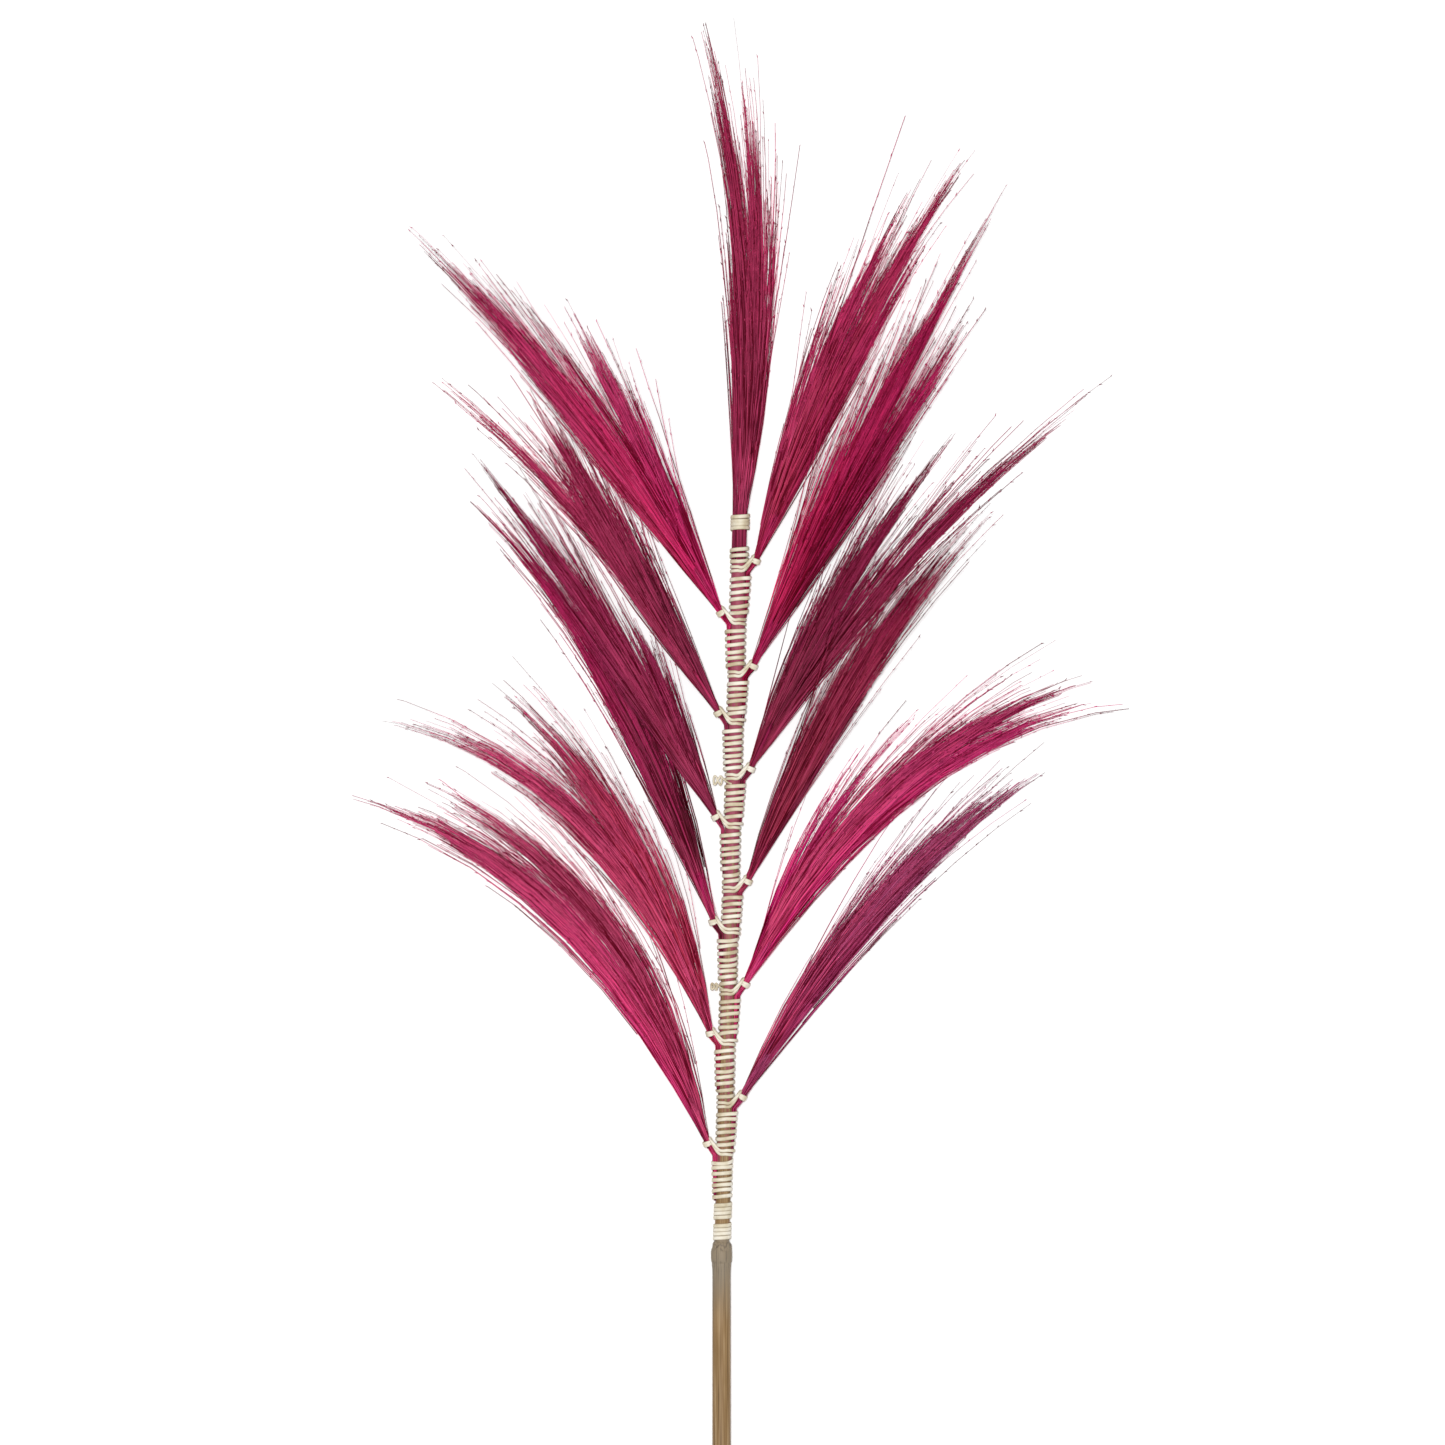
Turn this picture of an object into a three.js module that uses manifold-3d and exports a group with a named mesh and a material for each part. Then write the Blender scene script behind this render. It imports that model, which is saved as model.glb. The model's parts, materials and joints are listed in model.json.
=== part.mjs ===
// A branch of dyed rayung grass, lying flat: thirteen plumes of broom grass bound to a reed cane
// with a split-reed strip. Millimetres. +Y runs from the cane's cut end to the top plume's tip,
// +X to the right and +Z up from the table, with the origin under the middle of the branch.
import * as THREE from "three";
import { mergeVertices } from "three/addons/utils/BufferGeometryUtils.js";
import Module from "manifold-3d";

const wasm = await Module();
wasm.setup();

const deg = THREE.MathUtils.degToRad;

const caneMaterial = new THREE.MeshStandardMaterial({ color: 0x8f7a5c, roughness: 0.75 });
const stripMaterial = new THREE.MeshStandardMaterial({ color: 0xe6dbb8, roughness: 0.65 });
const grassMaterial = (color) => new THREE.MeshStandardMaterial({ color, roughness: 0.85 });
const magentaGrass = grassMaterial(0xb3125f);
const burgundyGrass = grassMaterial(0x74204a);
const roseGrass = grassMaterial(0xb34a84);

// The cane: a bare handle up to a swollen node, and above it a slimmer core that the plumes are bound to.
const HANDLE_RADIUS = 7.2;
const HANDLE_LENGTH = 232; // cut end to the middle of the node
const BUTT_SWELL = 0.2; // the cut end's extra radius
const NODE_SWELL = 1.2; // the node's extra radius
const NODE_LENGTH = 20;
const CORE_RADIUS = 5.9;
const CORE_CHAMFER = 1.2; // round the core's hidden top end
const CROWN_LEAN = 1.45; // degrees that the core turns to the right at the node

// The binding strip, and the play that every bound piece keeps inside it.
const STRIP_THICKNESS = 0.9;
const BINDING_CLEARANCE = 0.45;
const BINDING_GAP = 2; // from the node up to the lowest turn
const BINDING_RUNOUT = 6; // height over which the strip closes in below a bound piece's end

// Each plume's stem: a flat tongue along the core, a round neck that leaves it, and a collar round the neck.
const TONGUE_LENGTH = 36;
const TONGUE_THICKNESS = 3;
const TONGUE_WIDTH = 7;
const TONGUE_END_THICKNESS = 1; // at its lower end
const TONGUE_END_WIDTH = 5;
const TONGUE_TURN = 20; // degrees from the side of the core towards its front
const CORE_CLEARANCE = 0.3;
const NECK_RADIUS = 2.8;
const NECK_RISE = 10; // from the tongue's top to the middle of the collar
const COLLAR_LENGTH = 6;
const COLLAR_THICKNESS = 0.85;
const COLLAR_CLEARANCE = 0.4;
const EXIT_GAP = 5.5; // from the tongue's top up to the next stretch of binding, where its neck comes out
const EXIT_SINK = 0.5; // from the tongue's top down to the stretch of binding below
const NECK_STUB = 1; // neck beyond the collar, or stem beyond the binding, which the lobes grow from
const ROOT_SINK = 0.6; // how deep a lobe's root sits in its neck
const ROOT_INSET = 0.1; // how much smaller a lobe's root is than its neck

// The top plume's stem stands on the core's end, inside the binding.
const TOP_STEM_RADIUS = 6.4;
const TOP_STEM_LENGTH = 38; // of it, inside the binding
const TOP_RISE = 38; // from the highest collar to the top of the binding
const TOP_BAND_LENGTH = 16;
const TOP_BAND_GAP = 10;
const TOP_GAP = 0.4;

// A plume's body: its lobes are fans of fibre with an elliptical section, thin at both ends.
const BODY_FLATNESS = 0.34; // thickness over width
const TIP_RADIUS = 0.9;
const PLUME_CLEARANCE = 0.5; // between a plume and the one that rides over it
const SWELL_POWER = 0.9; // below 1 a lobe is full over more of its length
const BEND_POWER = 1.35; // above 1 a lobe stays straight near its root and bends more towards its tip
const LANDING_SHARE = 0.3; // of its length, within which a plume comes down to the table
const RIDING_SHARES = [0.08, 0.4]; // of its length, between which a riding plume climbs on its neighbours

// The side plumes from the lowest up. rise: its collar's height above the collar below, or above the node.
// rides: its outer part lies over its neighbours, and not on the table.
// Each lobe: length, lean away from the core at the collar, further bend by the tip, and half width.
const PLUMES = [
  {
    name: "left_6",
    grass: magentaGrass,
    rise: 90,
    rides: false,
    lobes: [[428, 26, 63, 14], [363, 19, 52, 12]],
  },
  {
    name: "right_6",
    grass: roseGrass,
    rise: 38,
    rides: false,
    lobes: [[386, 31, 29, 14]],
  },
  {
    name: "left_5",
    grass: burgundyGrass,
    rise: 50,
    rides: true,
    lobes: [[348, 20, 37, 12], [377, 24, 61, 12]],
  },
  {
    name: "right_5",
    grass: magentaGrass,
    rise: 40,
    rides: false,
    lobes: [[373, 29, 47, 12], [416, 30, 61, 9], [263, 21, 27, 4]],
  },
  {
    name: "left_4",
    grass: magentaGrass,
    rise: 49,
    rides: false,
    lobes: [[395, 20, 30, 14], [272, 24, 11, 9]],
  },
  {
    name: "right_4",
    grass: burgundyGrass,
    rise: 33,
    rides: true,
    lobes: [[352, 24, 19, 18]],
  },
  {
    name: "left_3",
    grass: magentaGrass,
    rise: 51,
    rides: true,
    lobes: [[341, 32, 9, 15], [203, 25, -1, 7]],
  },
  {
    name: "right_3",
    grass: burgundyGrass,
    rise: 39,
    rides: false,
    lobes: [[301, 25, 13, 13], [412, 33, 22, 8]],
  },
  {
    name: "left_2",
    grass: burgundyGrass,
    rise: 44,
    rides: false,
    lobes: [[310, 33, -4, 17], [367, 33, 24, 8]],
  },
  {
    name: "right_2",
    grass: magentaGrass,
    rise: 38,
    rides: true,
    lobes: [[411, 25, 4, 14], [352, 31, -1, 9]],
  },
  {
    name: "left_1",
    grass: magentaGrass,
    rise: 42,
    rides: true,
    lobes: [[394, 35, 13, 15], [274, 27, 3, 9]],
  },
  {
    name: "right_1",
    grass: burgundyGrass,
    rise: 42,
    rides: false,
    lobes: [[364, 22, 12, 15], [313, 16, 15, 9]],
  },
];
const TOP_LOBES = [[374, -2, 21, 16], [366, -6, 18, 8]];

// Two trimmed ends of the strip, knotted at the binding's left side: height above the node, and reach.
const KNOTS = [
  { height: 380, reach: 9 },
  { height: 215, reach: 6 },
];
const KNOT_THICKNESS = 1.6;

// How finely curves are cut.
const CANE_SIDES = 16;
const BINDING_SIDES = 12;
const PLUME_SIDES = 8;
const COLLAR_SIDES = 12;
const KNOT_SIDES = 6;
const KNOT_STEPS = 6;
const LOBE_STEPS = 10;

const NODE_RADIUS = HANDLE_RADIUS + NODE_SWELL;
const CANE_HEIGHT = NODE_RADIUS; // the node rests on the table
const BINDING_OFFSET = BINDING_CLEARANCE + STRIP_THICKNESS;
const BOUND_RADIUS = Math.max(CORE_RADIUS, TOP_STEM_RADIUS);
const COLLAR_RADIUS = NECK_RADIUS + COLLAR_CLEARANCE + COLLAR_THICKNESS;

let station = 0;
for (const plume of PLUMES) {
  station += plume.rise;
  plume.station = station;
  plume.side = plume.name.startsWith("left") ? -1 : 1;
}
const BINDING_TOP = station + TOP_RISE;
const CORE_LENGTH = BINDING_TOP - TOP_STEM_LENGTH; // node to the core's hidden top end

const lyingLobes = PLUMES.filter((plume) => !plume.rides).flatMap((plume) => plume.lobes);
const lyingWidths = lyingLobes.map(([, , , halfWidth]) => halfWidth);
const RIDE_HEIGHT = 2 * BODY_FLATNESS * Math.max(...lyingWidths) + PLUME_CLEARANCE;

/** A closed solid through outlines of equal length: capped at both ends, or joined end to start. */
function loft(outlines, joined = false) {
  const sides = outlines[0].length;
  const points = outlines.flat();
  const faces = [];
  const bands = joined ? outlines.length : outlines.length - 1;
  for (let ring = 0; ring < bands; ring++) {
    const next = (ring + 1) % outlines.length;
    for (let side = 0; side < sides; side++) {
      const a = ring * sides + side;
      const b = ring * sides + ((side + 1) % sides);
      const c = next * sides + ((side + 1) % sides);
      const d = next * sides + side;
      faces.push(a, b, c, a, c, d);
    }
  }
  if (!joined) {
    for (const [ring, forwards] of [[0, false], [outlines.length - 1, true]]) {
      const middle = points.length;
      const sum = outlines[ring].reduce((total, p) => total.add(p), new THREE.Vector3());
      points.push(sum.divideScalar(sides));
      for (let side = 0; side < sides; side++) {
        const a = ring * sides + side;
        const b = ring * sides + ((side + 1) % sides);
        faces.push(middle, ...(forwards ? [a, b] : [b, a]));
      }
    }
  }
  const geometry = new THREE.BufferGeometry().setFromPoints(points);
  geometry.setIndex(faces);
  geometry.computeVertexNormals();
  return geometry;
}

/** An ellipse round a point of a path, across its direction, with one half axis across and one upright. */
function ellipse(centre, direction, halfAcross, halfUpright, sides) {
  const across = new THREE.Vector3(direction.y, -direction.x, 0).normalize();
  const upright = new THREE.Vector3().crossVectors(across, direction).normalize();
  return Array.from({ length: sides }, (_, side) => {
    const turn = (-2 * Math.PI * side) / sides;
    return centre
      .clone()
      .addScaledVector(across, halfAcross * Math.cos(turn))
      .addScaledVector(upright, halfUpright * Math.sin(turn));
  });
}

function toSolid(geometry) {
  const bare = new THREE.BufferGeometry()
    .setAttribute("position", geometry.getAttribute("position"))
    .setIndex(geometry.index);
  const merged = mergeVertices(bare, 1e-4);
  return new wasm.Manifold(
    new wasm.Mesh({
      numProp: 3,
      vertProperties: merged.attributes.position.array,
      triVerts: new Uint32Array(merged.index.array),
    }),
  );
}

function toGeometry(solid) {
  const mesh = solid.getMesh();
  const geometry = new THREE.BufferGeometry()
    .setAttribute("position", new THREE.BufferAttribute(mesh.vertProperties, 3))
    .setIndex(new THREE.BufferAttribute(mesh.triVerts, 1));
  geometry.computeVertexNormals();
  return geometry;
}

function named(name, geometry, material) {
  const mesh = new THREE.Mesh(geometry, material);
  mesh.name = name;
  return mesh;
}

/** The cane, in the table's frame: handle, node and leaning core as one piece. */
function makeCane() {
  const up = new THREE.Vector3(0, 1, 0);
  const leaning = new THREE.Vector3(Math.sin(deg(CROWN_LEAN)), Math.cos(deg(CROWN_LEAN)), 0);
  const node = new THREE.Vector3(0, HANDLE_LENGTH, 0);
  const stations = [
    [-HANDLE_LENGTH, HANDLE_RADIUS + BUTT_SWELL],
    [-HANDLE_LENGTH / 2, HANDLE_RADIUS],
    [-NODE_LENGTH, HANDLE_RADIUS],
    [-NODE_LENGTH / 2, HANDLE_RADIUS + NODE_SWELL / 3],
    [-NODE_LENGTH / 5, NODE_RADIUS],
    [NODE_LENGTH / 10, NODE_RADIUS],
    [NODE_LENGTH / 3, CORE_RADIUS + STRIP_THICKNESS],
    [NODE_LENGTH / 2, CORE_RADIUS],
    [CORE_LENGTH - CORE_CHAMFER, CORE_RADIUS],
    [CORE_LENGTH, CORE_RADIUS - CORE_CHAMFER],
  ];
  const outlines = stations.map(([along, radius]) => {
    const direction = along < 0 ? up : leaning;
    const centre = node.clone().addScaledVector(direction, along);
    return ellipse(centre, direction, radius, radius, CANE_SIDES);
  });
  const mesh = named("cane", loft(outlines), caneMaterial);
  mesh.position.z = CANE_HEIGHT;
  return mesh;
}

/** Height at which a plume's neck leaves the binding, above the node. */
const exitOf = (plume) => plume.station - NECK_RISE;

/** Height of a bound tongue's thin lower end, above the node. */
const tongueEndOf = (plume) => exitOf(plume) - TONGUE_LENGTH;

/** A bound tongue's section at a height: an ellipse beside the core, or null where there is none. */
function tongueAt(plume, height) {
  const top = exitOf(plume);
  const bottom = tongueEndOf(plume);
  if (height > top || height < bottom) return null;
  const share = (height - bottom) / TONGUE_LENGTH;
  const thick = THREE.MathUtils.lerp(TONGUE_END_THICKNESS, TONGUE_THICKNESS, share) / 2;
  const wide = THREE.MathUtils.lerp(TONGUE_END_WIDTH, TONGUE_WIDTH, share) / 2;
  const turn = plume.side * deg(TONGUE_TURN);
  const offset = plume.side * (CORE_RADIUS + CORE_CLEARANCE + thick);
  return { x: offset * Math.cos(turn), z: offset * Math.sin(turn), turn, thick, wide };
}

/** The tongue's outline at a height, in the crown's frame. */
function tongueOutline(section, height) {
  return Array.from({ length: PLUME_SIDES }, (_, side) => {
    const around = (-2 * Math.PI * side) / PLUME_SIDES;
    const out = section.thick * Math.cos(around);
    const aside = section.wide * Math.sin(around);
    return new THREE.Vector3(
      section.x + out * Math.cos(section.turn) - aside * Math.sin(section.turn),
      height,
      section.z + out * Math.sin(section.turn) + aside * Math.cos(section.turn),
    );
  });
}

/** Where the collar's middle stands beside the core, clear of the binding at its own lean. */
function collarCentre(plume) {
  const lean = deg(plume.lobes[0][1]);
  const reach = COLLAR_RADIUS * Math.cos(lean) + (COLLAR_LENGTH / 2) * Math.sin(lean);
  const offset = BOUND_RADIUS + BINDING_OFFSET + COLLAR_CLEARANCE + reach;
  return new THREE.Vector3(plume.side * offset, plume.station, 0);
}

function leanDirection(lean, side) {
  return new THREE.Vector3(side * Math.sin(deg(lean)), Math.cos(deg(lean)), 0);
}

/** Share of the full width that a lobe has at a share of its length. */
const swell = (share) => Math.sin(Math.PI * share) ** SWELL_POWER;

/** A lobe's fan of fibre, from its root along an arc that comes down to the table. */
function makeLobe(root, rootRadius, [length, lean, bend, halfWidth], side, lift) {
  const outlines = [];
  const point = root.clone();
  const step = length / LOBE_STEPS;
  const rest = -CANE_HEIGHT;
  for (let index = 0; index <= LOBE_STEPS; index++) {
    const share = index / LOBE_STEPS;
    const direction = leanDirection(lean + bend * share ** BEND_POWER, side);
    const full = swell(share);
    const slim = THREE.MathUtils.lerp(rootRadius, TIP_RADIUS, share);
    const wide = slim + (halfWidth - slim) * full;
    const thick = slim + (halfWidth * BODY_FLATNESS - slim) * full;
    const landed = THREE.MathUtils.smoothstep(share, 0, LANDING_SHARE);
    const height = rest + thick + lift * THREE.MathUtils.smoothstep(share, ...RIDING_SHARES);
    const centre = point.clone().setZ(THREE.MathUtils.lerp(root.z, height, landed));
    outlines.push(ellipse(centre, direction, wide, thick, PLUME_SIDES));
    const midway = leanDirection(lean + bend * (share + 0.5 / LOBE_STEPS) ** BEND_POWER, side);
    point.addScaledVector(midway, step);
  }
  return loft(outlines);
}

/** A plume at the core's side: tongue, neck and lobes as one piece of fibre. */
function makeSidePlume(plume) {
  const { side, lobes } = plume;
  const tongueEnds = [tongueEndOf(plume), exitOf(plume)];
  const tongue = tongueEnds.map((height) => tongueOutline(tongueAt(plume, height), height));
  const centre = collarCentre(plume);
  const direction = leanDirection(lobes[0][1], side);
  const start = centre.clone().addScaledVector(direction, -COLLAR_LENGTH / 2);
  const end = centre.clone().addScaledVector(direction, COLLAR_LENGTH / 2 + NECK_STUB);
  const neck = [start, end].map((at) => ellipse(at, direction, NECK_RADIUS, NECK_RADIUS, PLUME_SIDES));
  const solids = [toSolid(loft([...tongue, ...neck]))];
  const root = end.clone().addScaledVector(direction, -ROOT_SINK);
  const lift = plume.rides ? RIDE_HEIGHT : 0;
  for (const lobe of lobes) {
    solids.push(toSolid(makeLobe(root, NECK_RADIUS - ROOT_INSET, lobe, side, lift)));
  }
  return named(`plume_${plume.name}`, toGeometry(wasm.Manifold.union(solids)), plume.grass);
}

/** The top plume: a round stem that stands on the core's end, and its fans above the binding. */
function makeTopPlume() {
  const up = new THREE.Vector3(0, 1, 0);
  const at = (height) => new THREE.Vector3(0, height, 0);
  const top = BINDING_TOP + NECK_STUB;
  const stem = [CORE_LENGTH + TOP_GAP, top].map((height) =>
    ellipse(at(height), up, TOP_STEM_RADIUS, TOP_STEM_RADIUS, PLUME_SIDES),
  );
  const solids = [toSolid(loft(stem))];
  for (const lobe of TOP_LOBES) {
    solids.push(toSolid(makeLobe(at(top - ROOT_SINK), TOP_STEM_RADIUS - ROOT_INSET, lobe, -1, 0)));
  }
  return named("plume_top", toGeometry(wasm.Manifold.union(solids)), burgundyGrass);
}

/** The ring of turns that ties a plume's neck. */
function makeCollar(plume) {
  const inner = NECK_RADIUS + COLLAR_CLEARANCE;
  const half = COLLAR_LENGTH / 2;
  const profile = [
    [inner, -half],
    [COLLAR_RADIUS, -half],
    [COLLAR_RADIUS, half],
    [inner, half],
    [inner, -half],
  ].map(([radius, along]) => new THREE.Vector2(radius, along));
  const geometry = new THREE.LatheGeometry(profile, COLLAR_SIDES);
  const mesh = named(`collar_${plume.name}`, geometry, stripMaterial);
  mesh.position.copy(collarCentre(plume));
  mesh.rotation.z = -plume.side * deg(plume.lobes[0][1]);
  return mesh;
}

/** How far a bound member reaches in a direction round the core. */
function reachOf(member, around) {
  const out = Math.cos(around - member.turn);
  const aside = Math.sin(around - member.turn);
  const middle = member.x * Math.cos(around) + member.z * Math.sin(around);
  return middle + Math.hypot(member.thick * out, member.wide * aside);
}

/** The outline that a taut strip takes at a height: flat from one member's edge to the next. */
function boundOutline(members, offset, height) {
  const step = (2 * Math.PI) / BINDING_SIDES;
  const reachAt = (around) => Math.max(...members.map((member) => reachOf(member, around))) + offset;
  return Array.from({ length: BINDING_SIDES }, (_, side) => {
    const around = -side * step;
    const reach = reachAt(around);
    const along = (reachAt(around - step) - reach * Math.cos(step)) / Math.sin(step);
    return new THREE.Vector3(
      reach * Math.cos(around) + along * Math.sin(around),
      height,
      reach * Math.sin(around) - along * Math.cos(around),
    );
  });
}

const round = (radius) => ({ x: 0, z: 0, turn: 0, thick: radius, wide: radius });

/** Everything the strip holds at a height: the core or the top stem, and the tongues beside it. */
function membersAt(height) {
  const tongues = PLUMES.map((plume) => tongueAt(plume, height)).filter(Boolean);
  return [round(height < CORE_LENGTH ? CORE_RADIUS : TOP_STEM_RADIUS), ...tongues];
}

/** One stretch of the wound strip, as the sleeve that its turns make. */
function makeWinding(name, low, high) {
  const ends = [CORE_LENGTH, ...PLUMES.map(tongueEndOf)].flatMap((end) => [end - BINDING_RUNOUT, end]);
  const turns = [...ends, ...PLUMES.map(exitOf)].filter((height) => height > low && height < high);
  const heights = [low, ...turns.sort((a, b) => a - b), high];
  const at = (offset) => (height) => boundOutline(membersAt(height), offset, height);
  const outer = heights.map(at(BINDING_OFFSET));
  const inner = heights.toReversed().map(at(BINDING_CLEARANCE));
  return named(name, loft([...outer, ...inner], true), stripMaterial);
}

/** A knotted end of the strip that stands out from the binding's left side. */
function makeKnot(name, { height, reach }) {
  const half = KNOT_THICKNESS / 2;
  const bound = Math.max(...membersAt(height).map((member) => reachOf(member, Math.PI)));
  const start = bound + BINDING_OFFSET + COLLAR_CLEARANCE + half;
  const line = new THREE.CatmullRomCurve3([
    new THREE.Vector3(-start, height, 0),
    new THREE.Vector3(-start - reach * 0.5, height + reach * 0.35, half),
    new THREE.Vector3(-start - reach * 0.9, height, half),
    new THREE.Vector3(-start - reach * 0.65, height - reach * 0.5, 0),
  ]);
  const outlines = Array.from({ length: KNOT_STEPS + 1 }, (_, step) => {
    const share = step / KNOT_STEPS;
    return ellipse(line.getPoint(share), line.getTangent(share), half, half, KNOT_SIDES);
  });
  return named(name, loft(outlines), stripMaterial);
}

/** The heights between which each stretch of binding runs, from the top down. */
function windingStretches() {
  const bandBottom = BINDING_TOP - TOP_BAND_LENGTH;
  const stretches = [[bandBottom, BINDING_TOP]];
  let high = bandBottom - TOP_BAND_GAP;
  for (const exit of PLUMES.map(exitOf).reverse()) {
    stretches.push([exit + EXIT_GAP, high]);
    high = exit - EXIT_SINK;
  }
  stretches.push([NODE_LENGTH / 2 + BINDING_GAP, high]);
  return stretches;
}

/** All that is bound above the node, in a frame along the leaning core. */
function makeCrown() {
  const crown = new THREE.Group();
  crown.position.set(0, HANDLE_LENGTH, CANE_HEIGHT);
  crown.rotation.z = -deg(CROWN_LEAN);
  for (const plume of PLUMES) crown.add(makeSidePlume(plume), makeCollar(plume));
  crown.add(makeTopPlume());
  windingStretches().forEach(([low, high], index) => {
    crown.add(makeWinding(`winding_${String(index + 1).padStart(2, "0")}`, low, high));
  });
  KNOTS.forEach((knot, index) => crown.add(makeKnot(`strip_knot_${index + 1}`, knot)));
  return crown;
}

/** Moves the branch so that the origin lies on the table under the middle of its outline. */
function settle(branch) {
  const box = new THREE.Box3().setFromObject(branch, true);
  const centre = box.getCenter(new THREE.Vector3());
  branch.position.set(-centre.x, -centre.y, -box.min.z);
  return branch;
}

const branch = new THREE.Group();
branch.add(makeCane(), makeCrown());

export default settle(branch);
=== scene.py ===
"""A branch of dyed rayung grass, lying on a table.

Thirteen plumes of broom grass are bound to a reed cane with a strip of split reed. Each plume is
a fan of combed fibre, the strip is wound turn by turn, and the cane has its node and cut end.
Lengths in the classes are millimetres unless a name says otherwise; meshes are in metres.
"""

import json
import logging
import math
from dataclasses import dataclass
from enum import Enum
from typing import Any, Sequence

import bpy
from mathutils import Matrix, Vector

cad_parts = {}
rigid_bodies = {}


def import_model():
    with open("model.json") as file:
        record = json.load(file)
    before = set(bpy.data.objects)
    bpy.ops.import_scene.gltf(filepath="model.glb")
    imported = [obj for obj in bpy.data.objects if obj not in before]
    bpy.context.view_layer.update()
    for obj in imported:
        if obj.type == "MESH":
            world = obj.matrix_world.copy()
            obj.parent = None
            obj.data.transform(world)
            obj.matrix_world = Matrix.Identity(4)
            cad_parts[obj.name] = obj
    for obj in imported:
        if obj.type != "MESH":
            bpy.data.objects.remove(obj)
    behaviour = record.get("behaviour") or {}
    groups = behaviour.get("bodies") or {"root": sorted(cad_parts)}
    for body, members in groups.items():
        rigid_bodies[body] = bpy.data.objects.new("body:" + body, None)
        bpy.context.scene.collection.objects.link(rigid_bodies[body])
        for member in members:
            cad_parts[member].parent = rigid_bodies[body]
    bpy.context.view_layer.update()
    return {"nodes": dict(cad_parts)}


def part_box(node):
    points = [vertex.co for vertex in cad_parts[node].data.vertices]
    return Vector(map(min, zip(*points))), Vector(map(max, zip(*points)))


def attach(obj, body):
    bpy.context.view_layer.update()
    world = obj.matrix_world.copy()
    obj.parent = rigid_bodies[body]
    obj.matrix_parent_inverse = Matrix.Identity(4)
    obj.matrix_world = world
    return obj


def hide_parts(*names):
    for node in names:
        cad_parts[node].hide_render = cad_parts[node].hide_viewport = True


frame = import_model()

log = logging.getLogger("branch")

MM = 0.001
BAKE_MAP = "OFBake"


class Side(Enum):
    """The side of the cane that a plume leaves from, as the sign of its X."""

    LEFT = -1
    RIGHT = 1


class Domain(Enum):
    """Where a named attribute is kept in a node tree."""

    POINT = "POINT"
    CURVE = "CURVE"
    CORNER = "CORNER"


# ---------------------------------------------------------------------------------------------
# Node trees as expressions


class Sig:
    """A node socket that takes part in arithmetic."""

    def __init__(self, tree: "Tree", socket: Any) -> None:
        """Keeps the tree and the socket."""
        self.tree = tree
        self.socket = socket

    def __add__(self, other: Any) -> "Sig":
        """Sum."""
        return self.tree.math("ADD", self, other)

    __radd__ = __add__

    def __sub__(self, other: Any) -> "Sig":
        """Difference."""
        return self.tree.math("SUBTRACT", self, other)

    def __rsub__(self, other: Any) -> "Sig":
        """Difference from a number."""
        return self.tree.math("SUBTRACT", other, self)

    def __mul__(self, other: Any) -> "Sig":
        """Product."""
        return self.tree.math("MULTIPLY", self, other)

    __rmul__ = __mul__

    def __truediv__(self, other: Any) -> "Sig":
        """Quotient."""
        return self.tree.math("DIVIDE", self, other)

    def __pow__(self, other: Any) -> "Sig":
        """Power."""
        return self.tree.math("POWER", self, other)

    def sin(self) -> "Sig":
        """Sine of the value in radians."""
        return self.tree.math("SINE", self)

    def cos(self) -> "Sig":
        """Cosine of the value in radians."""
        return self.tree.math("COSINE", self)

    def least(self, other: Any) -> "Sig":
        """The smaller of two values."""
        return self.tree.math("MINIMUM", self, other)

    def most(self, other: Any) -> "Sig":
        """The larger of two values."""
        return self.tree.math("MAXIMUM", self, other)

    def above(self, other: Any) -> "Sig":
        """1 where the value is over a limit."""
        return self.tree.math("GREATER_THAN", self, other)

    def smooth(self, low: float, high: float) -> "Sig":
        """0 below low and 1 above high, with a soft step between.

        Args:
            low: the value that gives 0.
            high: the value that gives 1.

        Returns:
            The stepped value.
        """
        settings = {"interpolation_type": "SMOOTHSTEP"}
        inputs = {"Value": self, "From Min": low, "From Max": high}
        return self.tree.read(self.tree.add("ShaderNodeMapRange", settings, inputs), "Result")


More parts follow.
